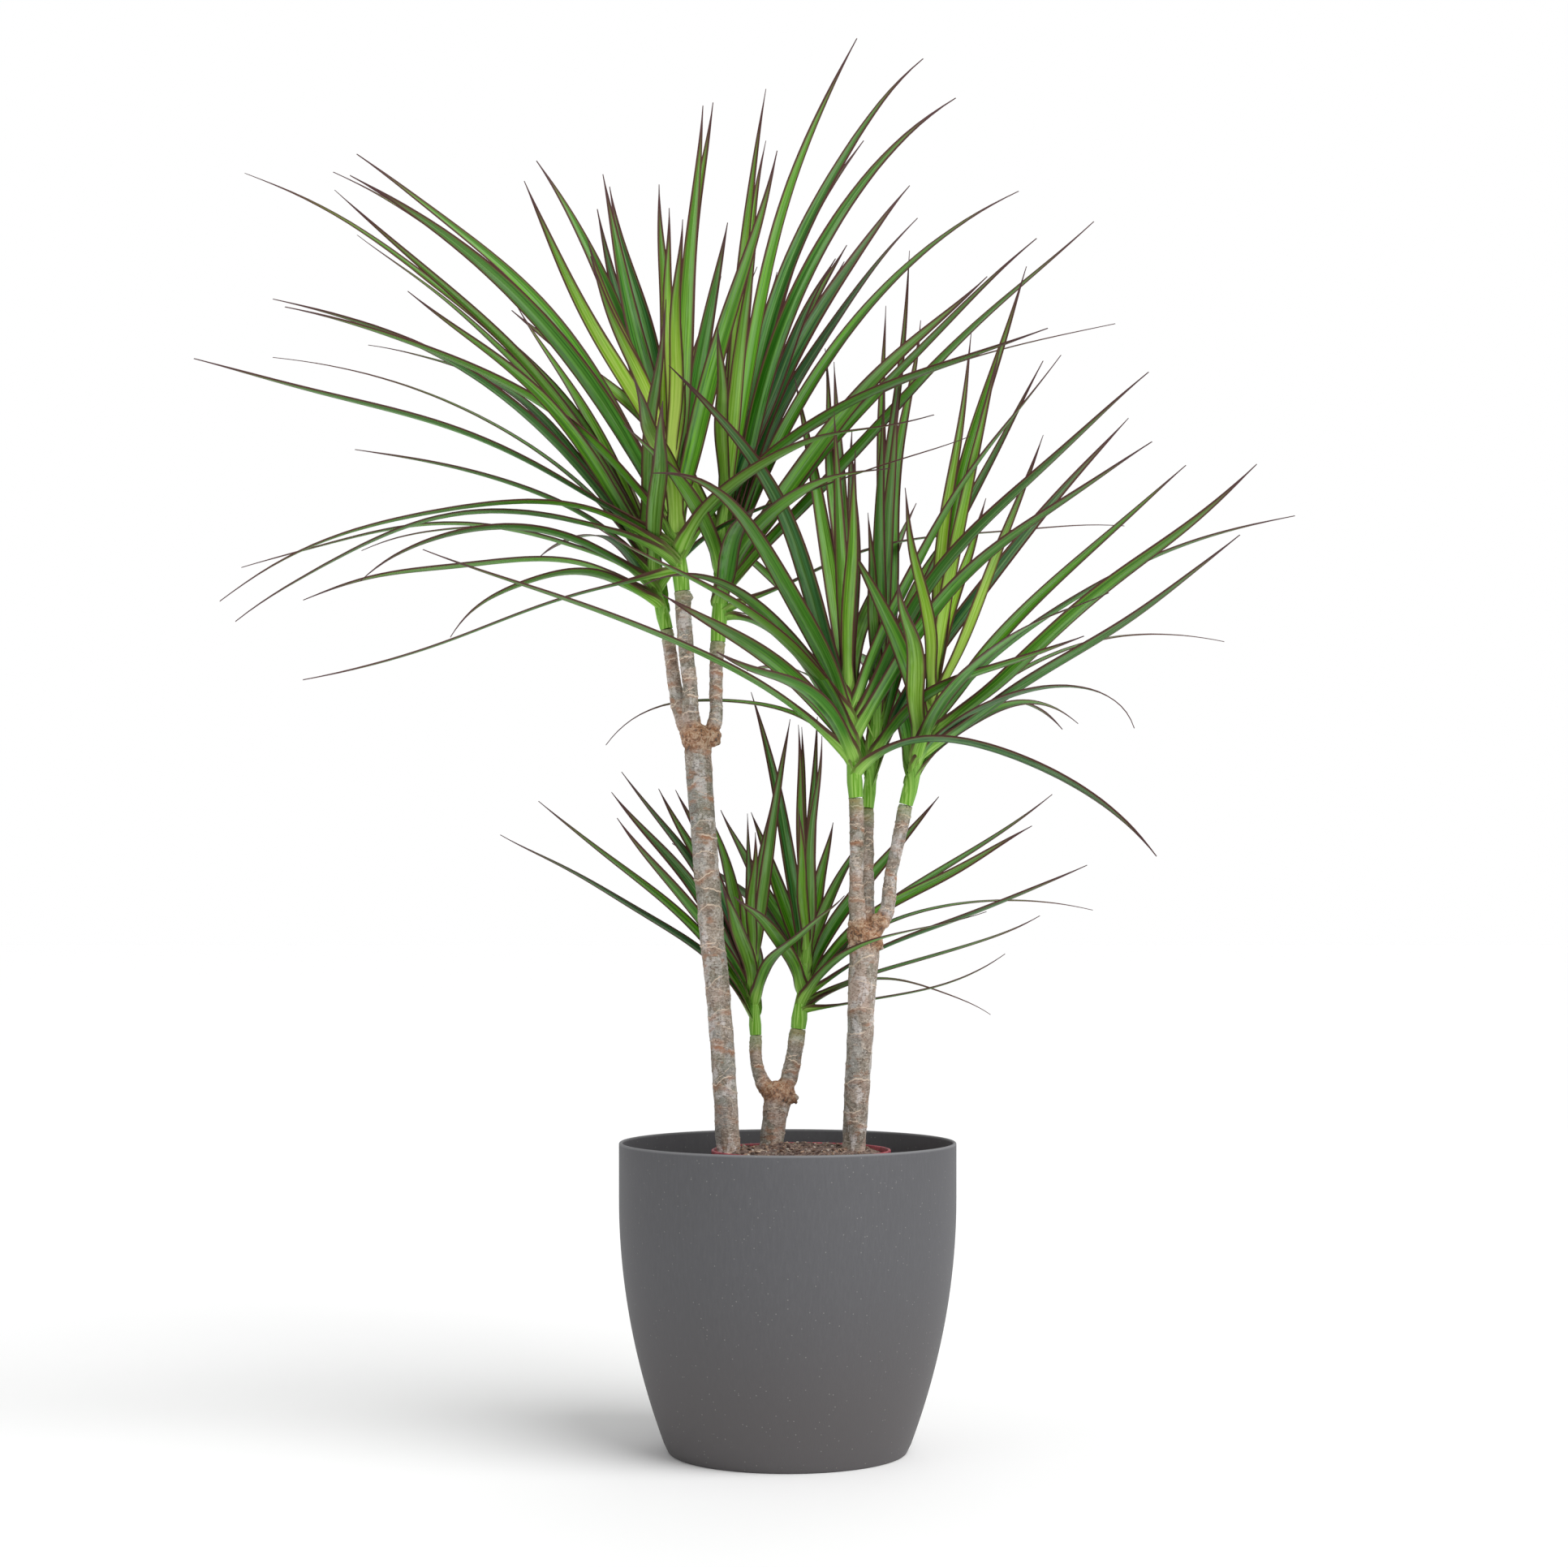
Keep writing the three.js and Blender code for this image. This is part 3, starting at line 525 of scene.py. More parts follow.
def make_cane(name, spec, seed):
    """A cane with its scars, lumps and folds in the mesh, and its marks kept for the finish."""
    draw = random.Random(seed)
    piece = cane_body(name, spec, draw)
    mesh = piece.data
    count = len(mesh.vertices)
    places, normals = np.empty(count * 3), np.empty(count * 3)
    mesh.vertices.foreach_get("co", places)
    mesh.vertices.foreach_get("normal", normals)
    places, normals = places.reshape(-1, 3), normals.reshape(-1, 3)
    scars, stains, tone, knots, young = (np.zeros(count) for _ in range(5))
    nearest = np.full(count, 1.0)
    branches = list(spec["branches"].values())
    for points, spacing in [(spec["trunk"], TRUNK_SCARS)] + [(points, BRANCH_SCARS) for points in branches]:
        rings, marks_round, tones, reach = scar_rings(places, points, *spacing, draw)
        closer = reach < nearest
        scars, stains = np.where(closer, rings, scars), np.where(closer, marks_round, stains)
        tone = np.where(closer, tones, tone)
        nearest = np.minimum(reach, nearest)
    for centre, radii in spec["knots"]:
        gap = np.linalg.norm((places / MM - centre) / radii, axis=1)
        knots = np.maximum(knots, np.clip(1.9 - 1.2 * gap, 0, 1))
    for points in branches:
        from_tip = np.linalg.norm(places - np.array(points[-1][:3]) * MM, axis=1)
        young = np.maximum(young, np.clip(1 - from_tip / (YOUNG_TOP * MM), 0, 1))

    x, y, z = places.T / MM
    lumps = np.sin(x / 3.1 + 2 * np.sin(z / 9)) * np.sin(y / 2.7 + z / 11) + 0.5 * np.sin(z / 5.3 + x)
    folds = np.sin(x / 1.9 + 2.2 * np.sin(z / 3.7 + y / 5)) * np.sin(z / 1.6 + 2 * np.sin(x / 4.3 - y / 3.1))
    raised = 0.3 * lumps + scars * 0.6 + (tone - 0.5) * 0.4
    raised = raised * (1 - 0.7 * knots) + knots * (0.8 * folds + 0.3 * lumps)
    places += normals * (raised * MM)[:, None]
    mesh.vertices.foreach_set("co", places.ravel())
    marks = mesh.attributes.new("bark_marks", "FLOAT_COLOR", "POINT")
    marks.data.foreach_set("color", np.stack([scars, knots, young, tone], 1).ravel())
    mesh.attributes.new("bark_stain", "FLOAT", "POINT").data.foreach_set("value", stains)
    mesh.update()
    return piece


# -------- leaves

# A blade's half-width is given as shares of its widest. It clasps the stem, narrows to a waist, is
# widest at a share of its length and tapers to its tip.
BLADE = {
    "rows": 40, "columns": 8, "crowding": 1.25, "foot": 0.45, "foot_end": 0.035, "clasp": 1.0,
    "clasp_end": 0.14, "waist": 0.72, "widest": 0.3, "taper": 1.7, "tip": 0.04, "thickness": 0.04,
}

# How deep it is rolled, as shares of a full trough: most where it clasps the stem, least at its tip.
TROUGH = {"full": 1.6, "clasp": 1.2, "waist": 0.3, "waist_at": 0.2, "tip": 0.14}

START_SHARE = 0.45  # of a blade's lean that it already has where it leaves the stem
START_PULL = 0.32  # share of the length that the stem end steers
TIP_PULL = 0.36  # share of the length that the hanging tip steers
WIDTH_UNIT = 20  # millimetres; the leaf's finish reads a width as a share of it
YOUNGEST_WIDTH = 0.72  # as a share of a grown leaf's
ROOTS = (0.95, 0.1)  # where the youngest and the oldest leaf leave the stem, as shares of its length

# The leaves set by rule: reach as a share of the head's length, lean to the front or back, hang and twist
# in degrees, each from the youngest leaf to the oldest or between the draw's limits. The draw also turns
# and leans them a little, and those that don't point enough to the front or back are passed over.
FILL = {"reach": (0.9, 1.15), "front": (34, 66), "back": (16, 76), "hang": (2, 24), "twist": 60}
FILL_TURN, FILL_LEAN = 40, 8  # degrees at most
FILL_TOWARD = 0.6  # cosine of the angle from straight to the front or back

# A blade's wave sideways and up and down: its size as a share of the length, and its radians.
SWAY = (0.013, 7)
DIP = (0.01, 9)

# At its base a steep leaf that leans sideways turns its face to the front by so many degrees. A leaf that
# leans more than the first angle turns less, and past the second angle not at all.
ROOT_TURN = {"most": 35, "full": 45, "none": 68}

# How far a leaf's tip is set back, in millimetres, and lifted, in degrees, in the order tried.
SETBACKS = [0, 15, -15, 30, -30, 45, -45, 65, -65, 90, -90, 120, -120, 150, -150]
LIFTS = [0, 2, -2, 4, -4, 7, -7]

TIP_MATCH = 0.2  # millimetres at most from a leaf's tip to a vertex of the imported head

# A leaf's age runs from 0 at the top of its stem to 1 at its foot. The finish paints it younger by these
# shares, but never younger than its head's least age, so that only a few leaves are bright.
LEAST_AGE = {"head_tall_middle": 0, "head_tall_right": 0.17, "head_middle_right": 0.13}
LEAST_AGE_ELSEWHERE = 0.2
HEAD_AGE_SHARE = {"head_tall_middle": 0.68}
FILL_AGE_SHARE = 0.35
STEM_FACTS = (0.5, 0.5, 0.8, 1)  # the age, tint, width and upper face that a head's stem is painted with


def painted_age(name, age):
    return max(age * HEAD_AGE_SHARE.get(name, 1), LEAST_AGE.get(name, LEAST_AGE_ELSEWHERE))


def width_share(u):
    """A blade's width along it, as a share of its widest: a clasping base, a waist and a long taper."""
    widest = BLADE["widest"]
    if u < widest:
        body = mix(BLADE["waist"], 1, eased(u / widest))
        clasp = mix(BLADE["clasp"], BLADE["waist"], eased(u / BLADE["clasp_end"]))
        return mix(BLADE["foot"], 1, eased(u / BLADE["foot_end"])) * max(body, clasp)
    return max(BLADE["tip"], 1 - ((u - widest) / (1 - widest)) ** BLADE["taper"])


def trough_share(u):
    """How far a blade is rolled into a trough: round the stem at its base, nearly flat further out."""
    if u < TROUGH["waist_at"]:
        return mix(TROUGH["clasp"], TROUGH["waist"], eased(u / TROUGH["waist_at"]))
    return mix(TROUGH["waist"], TROUGH["tip"], u)


def make_blade():
    """One flat blade of unit length and width, rolled, thickened and ready to be sized and bent."""
    deselect()
    bpy.ops.mesh.primitive_grid_add(x_subdivisions=BLADE["rows"], y_subdivisions=BLADE["columns"], size=1)
    blade = bpy.context.object
    edit_all()
    bpy.ops.transform.translate(value=(0.5, 0, 0))
    for column in range(BLADE["columns"] + 1):
        across = column / BLADE["columns"] - 0.5
        choose(blade, lambda co: abs(co.y - across) < 1e-4)
        bpy.ops.transform.translate(value=(0, 0, TROUGH["full"] * across**2))
    for row in range(BLADE["rows"] + 1):
        even = row / BLADE["rows"]
        u = even ** BLADE["crowding"]
        choose(blade, lambda co: abs(co.x - even) < 1e-4)
        bpy.ops.transform.translate(value=(u - even, 0, 0))
        share = width_share(u)
        bpy.ops.transform.resize(value=(1, share, share * trough_share(u)), center_override=(u, 0, 0))
    leave_edit()
    apply_modifier(blade, "SOLIDIFY", thickness=BLADE["thickness"], offset=0)
    outward(blade, weld=False)
    return blade


def drawer(seed):
    """A repeatable draw from 0 to 1."""
    state = seed
    while True:
        state = (state * 16807) % 2147483647
        yield state / 2147483647


def fill_rows(spec):
    """Rows for the leaves that point mostly to the front and back, a golden angle apart round the stem."""
    draw = drawer(spec["seed"])
    rows = []
    k = 0
    while len(rows) < spec["fill"]:
        azimuth = math.radians(k * GOLDEN_ANGLE + FILL_TURN * next(draw))
        k += 1
        age = len(rows) / spec["fill"]
        toward = math.cos(azimuth)
        reach = spec["length"] * mix(*FILL["reach"], next(draw))
        lean = math.radians(mix(*FILL["front" if toward > 0 else "back"], age) + FILL_LEAN * next(draw))
        hang = mix(*FILL["hang"], age) * next(draw)
        twist = FILL["twist"] * (next(draw) - 0.5)
        if abs(toward) < FILL_TOWARD:
            continue
        out = reach * math.sin(lean)
        rows.append([out * math.sin(azimuth), out * toward, reach * math.cos(lean), hang, twist])
    return rows


def sighted(x, y, z):
    """The place that is seen at (x, z) in the plane of the pot's axis and stands y behind it."""
    far = 1 + y / EYE["distance"]
    return Vector((EYE["x"] + (x - EYE["x"]) * far, y, EYE["height"] + (z - EYE["height"]) * far))


def leaf_line(head, row, age, back, lift):
    """A leaf's centre line as the four points of a cubic curve, with its turn at the root, its twist at the
    tip and its width. It turns and twists to that hand that brings its face round to the front."""
    across, toward, rise, hang, twist = row[:5]
    foot = head["foot"]
    offset = sighted(foot.x + across, foot.y - toward + back, foot.z + rise) - foot
    offset = Quaternion(UP.cross(offset).normalized(), -math.radians(lift)) @ offset
    share = mix(*ROOTS, age)
    outward = Vector((offset.x, offset.y, 0)).normalized()
    root = foot.lerp(head["top"], share)
    root += outward * 0.5 * mix(head["radius"], CORE_TIP_RADIUS, share)
    tip = foot + offset
    chord = tip - root
    length = chord.length
    chord.normalize()
    hinge = UP.cross(chord).normalized()
    lean = UP.angle(chord)
    leave = math.radians(row[5]) if len(row) > 5 else START_SHARE * lean
    start = Quaternion(hinge, leave) @ UP
    end = Quaternion(hinge, math.radians(hang)) @ chord
    points = [root, root + start * START_PULL * length, tip - end * TIP_PULL * length, tip]
    sideways = abs(chord.x) / math.hypot(chord.x, chord.y)
    flat = (math.degrees(lean) - ROOT_TURN["full"]) / (ROOT_TURN["none"] - ROOT_TURN["full"])
    hand = -1 if chord.x * chord.y < 0 else 1
    turn = math.radians(ROOT_TURN["most"]) * sideways * (1 - eased(flat))
    width = head["width"] * mix(YOUNGEST_WIDTH, 1, eased(age * 2.5))
    return points, hand * turn, hand * math.radians(twist), width


def built_leaf(head, row, age, tips):
    """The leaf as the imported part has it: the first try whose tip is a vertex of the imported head."""
    for lift in LIFTS:
        for back in SETBACKS:
            leaf = leaf_line(head, row, age, back, lift)
            if tips.find(leaf[0][3] * MM)[2] < TIP_MATCH * MM:
                return leaf
    return None


def bent_blade(blade, guide, leaf, age, tint, draw):
    """A copy of the blade, sized, waved and bent along the leaf's centre line by the guide curve."""
    points, turn, twist, width = leaf
    spline = guide.data.splines[0]
    start, end = spline.bezier_points
    start.co, start.handle_right, end.handle_left, end.co = [p * MM for p in points]
    start.handle_left = start.co * 2 - start.handle_right
    end.handle_right = end.co * 2 - end.handle_left
    start.tilt = turn
    end.tilt = twist
    length = spline.calc_length(resolution=64)
    copy = copied(blade)
    facts = copy.data.attributes.new("leaf_facts", "FLOAT_COLOR", "POINT")
    upper_face = len(copy.data.vertices) // 2
    sway, dip, phase = draw.uniform(-1, 1), draw.uniform(-1, 1), draw.uniform(0, math.tau)
    for k, (fact, v) in enumerate(zip(facts.data, copy.data.vertices)):
        u = min(1, max(0, v.co.x))
        fact.color = (age, tint, width * width_share(u) / WIDTH_UNIT, 1 if k < upper_face else 0)
        wave = eased(u / 0.25) * (1 - u**4) * length / (width * MM)
        v.co.y += SWAY[0] * wave * sway * math.sin(SWAY[1] * u + phase)
        v.co.z += DIP[0] * wave * dip * math.sin(DIP[1] * u + 2 * phase)
    copy.data.transform(Matrix.Diagonal((length, width * MM, width * MM, 1)))
    apply_modifier(copy, "CURVE", object=guide, deform_axis="POS_X")
    return copy


def head_stem(foot, top, seat, radius):
    """The green stem of a head, from its seat on a branch to among its youngest leaves."""
    low, middle = foot.lerp(top, 0.14), foot.lerp(top, 0.5)
    girths = (0.96 * radius, 1.04 * radius, 0.66 * radius, 0.5 * CORE_TIP_RADIUS)
    stem = sweep([[*place, girth] for place, girth in zip((seat, low, middle, top), girths)])
    facts = stem.data.attributes.new("leaf_facts", "FLOAT_COLOR", "POINT")
    facts.data.foreach_set("color", STEM_FACTS * len(stem.data.vertices))
    # Its UV map runs over the part of the leaf's finish that is the pale base, in three streaks.
    plot = stem.data.uv_layers[0].data
    for loop, corner in zip(stem.data.loops, plot):
        off = stem.data.vertices[loop.vertex_index].co / MM - foot
        corner.uv = (0.1, 0.5 + 0.2 * math.sin(3 * math.atan2(off.y, off.x)))
    return stem


def make_head(name, spec, blade, guide):
    """A head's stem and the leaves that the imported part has, joined."""
    x, y, z, radius = CANES[spec["cane"]]["branches"][spec["branch"]][-1]
    head = dict(spec, foot=Vector((x, y, z)), top=Vector(spec["top"]), radius=radius)
    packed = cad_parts[name].data.vertices
    tips = kdtree.KDTree(len(packed))
    for k, v in enumerate(packed):
        tips.insert(v.co, k)
    tips.balance()
    draw = random.Random(spec["seed"])
    solids = [head_stem(head["foot"], head["top"], (x, y, z + CLEARANCE), radius)]
    for rows, share in ((spec["leaves"], 1), (fill_rows(spec), FILL_AGE_SHARE)):
        for k, row in enumerate(rows):
            age = k / len(rows)
            leaf = built_leaf(head, row, age, tips)
            tint = draw.random()
            if leaf:
                solids.append(bent_blade(blade, guide, leaf, painted_age(name, age * share), tint, draw))
            else:
                print("left out", name, k)
    piece = joined(name.replace("head", "leaves"), solids)
    smooth_by_angle(piece, 50)
    return piece


# -------- finishes


def colour(red, green, blue):
    """An sRGB colour, 0 to 255, as the linear colour that a shader takes."""
    shares = [c / 255 for c in (red, green, blue)]
    return (*[c / 12.92 if c < 0.04045 else ((c + 0.055) / 1.055) ** 2.4 for c in shares], 1)


class Sheet:
    """A node tree being wired: nodes are added left to right, and their sockets are set or linked."""

    def __init__(self, tree):
        self.tree = tree
        self.column = 0

    def add(self, kind, sockets=None, **settings):
        node = self.tree.nodes.new(kind)
        node.location = (self.column * 190, -(self.column % 4) * 160)
        self.column += 1
        for key, value in settings.items():
            setattr(node, key, value)
        for name, value in (sockets or {}).items():
            if isinstance(value, bpy.types.NodeSocket):
                self.tree.links.new(value, node.inputs[name])
            else:
                node.inputs[name].default_value = value
        return node

    def maths(self, operation, a, b=0.0, c=0.0):
        return self.add("ShaderNodeMath", {0: a, 1: b, 2: c}, operation=operation).outputs[0]

    def times(self, a, b):
        return self.maths("MULTIPLY", a, b)

    def between(self, value, low, high):
        """Eases from 0 at low to 1 at high."""
        sockets = {"Value": value, "From Min": low, "From Max": high}
        return self.add("ShaderNodeMapRange", sockets, interpolation_type="SMOOTHSTEP").outputs["Result"]

    def blend(self, share, *shades):
        """Two shades mixed. A shade is a socket or an sRGB colour."""
        below, above = (s if isinstance(s, bpy.types.NodeSocket) else colour(*s) for s in shades)
        return self.add("ShaderNodeMix", {"Factor": share, 6: below, 7: above}, data_type="RGBA").outputs[2]

    def layered(self, body, *layers):
        """Lays shades over the body one by one, each by its share where its mask is."""
        for mask, share, shade in layers:
            body = self.blend(mask if share == 1 else self.times(mask, share), body, shade)
        return body

    def ramp(self, value, *stops):
        node = self.add("ShaderNodeValToRGB", {"Fac": value})
        stones = node.color_ramp.elements
        while len(stones) < len(stops):
            stones.new(0.5)
        for stone, (place, shade) in zip(stones, stops):
            stone.position = place
            stone.color = colour(*shade)
        return node.outputs["Color"]

    def noise(self, vector, scale, detail=3.0, roughness=0.55, distortion=0.0):
        sockets = {"Vector": vector, "Scale": scale, "Detail": detail, "Roughness": roughness}
        return self.add("ShaderNodeTexNoise", {**sockets, "Distortion": distortion}).outputs["Fac"]

    def stretched(self, vector, scale):
        return self.add("ShaderNodeMapping", {"Vector": vector, "Scale": scale}).outputs["Vector"]

    def place(self):
        """Where a point of the piece is, in metres."""
        return self.add("ShaderNodeTexCoord").outputs["Object"]

    def axes(self, vector):
        return self.add("ShaderNodeSeparateXYZ", {"Vector": vector}).outputs

    def attribute(self, name, output="Color"):
        return self.add("ShaderNodeAttribute", attribute_name=name).outputs[output]

    def channels(self, shade):
        return self.add("ShaderNodeSeparateColor", {"Color": shade}).outputs

    def mottle(self, vector, scale, *shades):
        sockets = {"Vector": vector, "Scale": scale}
        sockets.update(zip(("Dark", "Middle", "Pale"), (colour(*shade) for shade in shades)))
        return self.add("ShaderNodeGroup", sockets, node_tree=mottle).outputs

    def specks(self, vector, scale, amount):
        sockets = {"Vector": vector, "Scale": scale, "Amount": amount}
        return self.add("ShaderNodeGroup", sockets, node_tree=specks).outputs["Mask"]


def cleared(tree):
    for node in list(tree.nodes):
        tree.nodes.remove(node)
    return Sheet(tree)


def node_group(name, outputs, **inputs):
    """A group with a Vector input and the given ones, each a number or a colour."""
    tree = bpy.data.node_groups.new(name, "ShaderNodeTree")
    new_socket = tree.interface.new_socket
    new_socket(name="Vector", in_out="INPUT", socket_type="NodeSocketVector")
    for label, value in inputs.items():
        kind = "NodeSocketFloat" if isinstance(value, float) else "NodeSocketColor"
        new_socket(name=label, in_out="INPUT", socket_type=kind).default_value = value
    for label, kind in outputs.items():
        new_socket(name=label, in_out="OUTPUT", socket_type=kind)
    sheet = Sheet(tree)
    return tree, sheet, sheet.add("NodeGroupInput").outputs


def make_mottle():
    """Soft patches of three colours with finer flecks in them."""
    outputs = {"Color": "NodeSocketColor", "Height": "NodeSocketFloat"}
    shades = {"Dark": (0.1, 0.1, 0.1, 1), "Middle": (0.3, 0.3, 0.3, 1), "Pale": (0.6, 0.6, 0.6, 1)}
    tree, sheet, given = node_group("mottle", outputs, Scale=100.0, **shades)
    broad = sheet.noise(given["Vector"], given["Scale"], 4.0, 0.6)
    fine = sheet.noise(given["Vector"], sheet.times(given["Scale"], 5.3), 3.0, 0.6)
    height = sheet.maths("MULTIPLY_ADD", fine, 0.4, sheet.times(broad, 0.7))
    low = sheet.blend(sheet.between(height, 0.44, 0.54), given["Dark"], given["Middle"])
    shade = sheet.blend(sheet.between(height, 0.56, 0.67), low, given["Pale"])
    sheet.add("NodeGroupOutput", {"Color": shade, "Height": height})
    return tree


def make_specks():
    """A mask of small scattered grains."""
    tree, sheet, given = node_group("specks", {"Mask": "NodeSocketFloat"}, Scale=400.0, Amount=0.1)
    cells = sheet.add("ShaderNodeTexVoronoi", {"Vector": given["Vector"], "Scale": given["Scale"]}).outputs
    chosen = sheet.maths("LESS_THAN", sheet.channels(cells["Color"])["Red"], given["Amount"])
    mask = sheet.times(chosen, sheet.between(cells["Distance"], 0.42, 0.2))
    sheet.add("NodeGroupOutput", {"Mask": mask})
    return tree


def new_finish(name):
    finish = bpy.data.materials.new(name)
    finish.use_nodes = True
    return finish, cleared(finish.node_tree)


def surface(sheet, body, roughness, height=None, depth=0.001, strength=0.5, **uniform):
    """The shader itself, with its bump, and the material's output."""
    shader = sheet.add("ShaderNodeBsdfPrincipled", {"Base Color": body, "Roughness": roughness})
    for name, value in uniform.items():
        shader.inputs[name.replace("_", " ")].default_value = value
    if height is not None:
        bump = sheet.add("ShaderNodeBump", {"Height": height, "Distance": depth, "Strength": strength})
        sheet.tree.links.new(bump.outputs["Normal"], shader.inputs["Normal"])
    sheet.add("ShaderNodeOutputMaterial", {"Surface": shader.outputs["BSDF"]})


def leaf_finish():
    """Green blades with streaks, a maroon margin, a lime base and a brown tip, painted shade along the edges
    and on one half of the fold, and a painted sheen on the other half.
    """
    finish, sheet = new_finish("dracaena_leaf")
    maths, times, between, blend = sheet.maths, sheet.times, sheet.between, sheet.blend
    plot = sheet.axes(sheet.add("ShaderNodeUVMap", uv_map="UVMap").outputs["UV"])
    along, across = plot["X"], plot["Y"]
    fact = sheet.channels(sheet.attribute("leaf_facts"))
    age, tint, width = fact["Red"], fact["Green"], fact["Blue"]
    upper = sheet.attribute("leaf_facts", "Alpha")
    off_middle = maths("ABSOLUTE", maths("SUBTRACT", across, 0.5))
    to_edge = times(maths("SUBTRACT", 0.5, off_middle), times(width, WIDTH_UNIT))
    shifted = sheet.add("ShaderNodeCombineXYZ", {"X": along, "Y": across, "Z": tint}).outputs[0]
    streaks = sheet.noise(sheet.stretched(shifted, (2.4, 11, 90)), 1.0, 4.0, 0.7)
    broad = sheet.noise(sheet.stretched(shifted, (9, 4, 60)), 1.0, 3.0, 0.55)

    dark = sheet.ramp(tint, (0.0, (16, 50, 26)), (0.3, (28, 84, 0)), (1.0, (54, 112, 0)))
    lit = sheet.ramp(tint, (0.0, (66, 122, 82)), (0.3, (92, 166, 56)), (1.0, (124, 194, 40)))
    # The tint chooses which half of the fold gets painted shade, and the other half gets a pale painted
    # sheen.
    chosen = maths("GREATER_THAN", maths("FRACT", times(tint, 7.0)), 0.5)
    half = maths("ABSOLUTE", maths("SUBTRACT", chosen, across))
    painted_sheen = times(between(half, 0.54, 0.46), between(broad, 0.3, 0.6))

    very_young = between(age, 0.2, 0.02)
    young = times(between(age, 0.24, 0.08), between(along, 0.95, 0.35))
    fresh = blend(between(streaks, 0.35, 0.65), (156, 210, 20), (218, 244, 118))
    base = between(along, maths("MULTIPLY_ADD", very_young, 0.34, 0.24), 0.06)
    lime = blend(between(streaks, 0.35, 0.65), (112, 172, 48), (172, 214, 108))
    lime = blend(very_young, lime, (224, 246, 128))
    outer = times(between(along, 0.4, 0.95), between(age, 0.0, 0.7))
    weathered = maths("MAXIMUM", times(between(broad, 0.6, 0.8), 0.3), times(outer, 0.5))

    ragged = maths("MULTIPLY_ADD", broad, 1.2, 0.7)
    reddish = between(to_edge, maths("ADD", ragged, 1.5), maths("ADD", ragged, 0.4))
    margin = between(to_edge, maths("ADD", ragged, 0.6), maths("SUBTRACT", ragged, 0.4))
    tip = between(maths("ADD", along, times(broad, 0.12)), 0.93, 1.04)
    body = sheet.layered(
        blend(between(streaks, 0.4, 0.6), dark, lit),
        # painted shade towards both edges of the blade
        (between(off_middle, 0.22, 0.46), 0.55, dark),
        (between(off_middle, 0.16, 0.02), 0.35, (124, 176, 76)),
        # painted shade on one half of the fold
        (between(half, 0.46, 0.54), 0.42, dark),
        # a painted sheen on the other half of the fold
        (painted_sheen, 0.4, (142, 176, 132)),
        (young, 0.92, fresh),
        (maths("SUBTRACT", 1.0, upper), 0.16, (92, 130, 70)),
        (weathered, 1, (98, 106, 88)),
        (base, 0.85, lime),
        (between(along, 0.035, 0.0), 0.6, (196, 204, 150)),
        (times(reddish, between(along, 0.06, 0.3)), 0.45, (118, 88, 60)),
        (times(margin, between(along, 0.01, 0.12)), 0.92, (82, 44, 46)),
        (tip, 1, (84, 60, 60)),
    )
    gloss = maths("MULTIPLY_ADD", streaks, 0.25, 0.36)
    surface(sheet, body, gloss, streaks, 0.0004, 0.35, Specular_IOR_Level=0.08)
    return finish


def bark_finish():
    """Grey and tan bark with creamy scar ridges, whitish patches of painted sheen, orange-brown knots and
    greenish young tops.
    """
    finish, sheet = new_finish("cane_bark")
    maths, times, between, noise = sheet.maths, sheet.times, sheet.between, sheet.noise
    place = sheet.place()
    mark = sheet.channels(sheet.attribute("bark_marks"))
    ridge, knotty, young = mark["Red"], mark["Green"], mark["Blue"]
    tone = sheet.attribute("bark_marks", "Alpha")
    stain = sheet.attribute("bark_stain", "Fac")
    upright = sheet.stretched(place, (1, 1, 0.6))
    level = sheet.stretched(place, (1, 1, 2.2))
    bark = sheet.mottle(upright, 110.0, (84, 76, 64), (146, 138, 126), (208, 202, 194))
    drift = noise(upright, 30.0, 3.0, 0.6)
    sheen_patches = noise(upright, 85.0, 4.0, 0.6, 0.4)
    greenish = noise(place, 34.0, 3.0)
    crumple = noise(level, 330.0, 4.0, 0.65, 0.8)
    patch = noise(level, 75.0, 4.0)
    tan = maths("MAXIMUM", times(between(patch, 0.55, 0.68), 0.55), times(stain, between(patch, 0.38, 0.6)))
    blotch = noise(level, 62.0, 5.0, 0.65, 0.5)
    fibres = between(noise(place, 240.0, 4.0, 0.6, 1.2), 0.3, 0.7)
    rust = sheet.ramp(fibres, (0.0, (66, 44, 34)), (0.4, (160, 108, 68)), (1.0, (206, 180, 154)))
    body = sheet.layered(
        sheet.blend(0.4, bark["Color"], sheet.blend(tone, (128, 130, 116), (190, 166, 150))),
        (between(drift, 0.53, 0.6), 0.5, (156, 160, 158)),
        (between(drift, 0.47, 0.4), 0.5, (202, 174, 160)),
        # whitish patches that are a painted sheen on the bark
        (between(sheen_patches, 0.54, 0.6), 0.6, (222, 216, 214)),
        (between(greenish, 0.5, 0.66), 0.4, (112, 116, 94)),
        (between(crumple, 0.52, 0.62), 0.65, (92, 78, 66)),
        (between(crumple, 0.46, 0.36), 0.5, (214, 204, 196)),
        (tan, 1, (166, 116, 84)),
        (between(blotch, 0.6, 0.66), 0.6, (104, 82, 66)),
        (between(ridge, 0.2, 0.7), 1, (222, 202, 182)),
        (between(knotty, 0.1, 0.8), 0.85, rust),
        (between(young, 0.3, 1.0), 0.7, (140, 156, 92)),
        (sheet.specks(place, 420.0, 0.14), 0.55, (74, 58, 50)),
    )
    flecks = maths("MULTIPLY_ADD", crumple, 0.9, bark["Height"])
    surface(sheet, body, maths("MULTIPLY_ADD", bark["Height"], 0.2, 0.62), flecks, 0.0018, 0.7)
    return finish


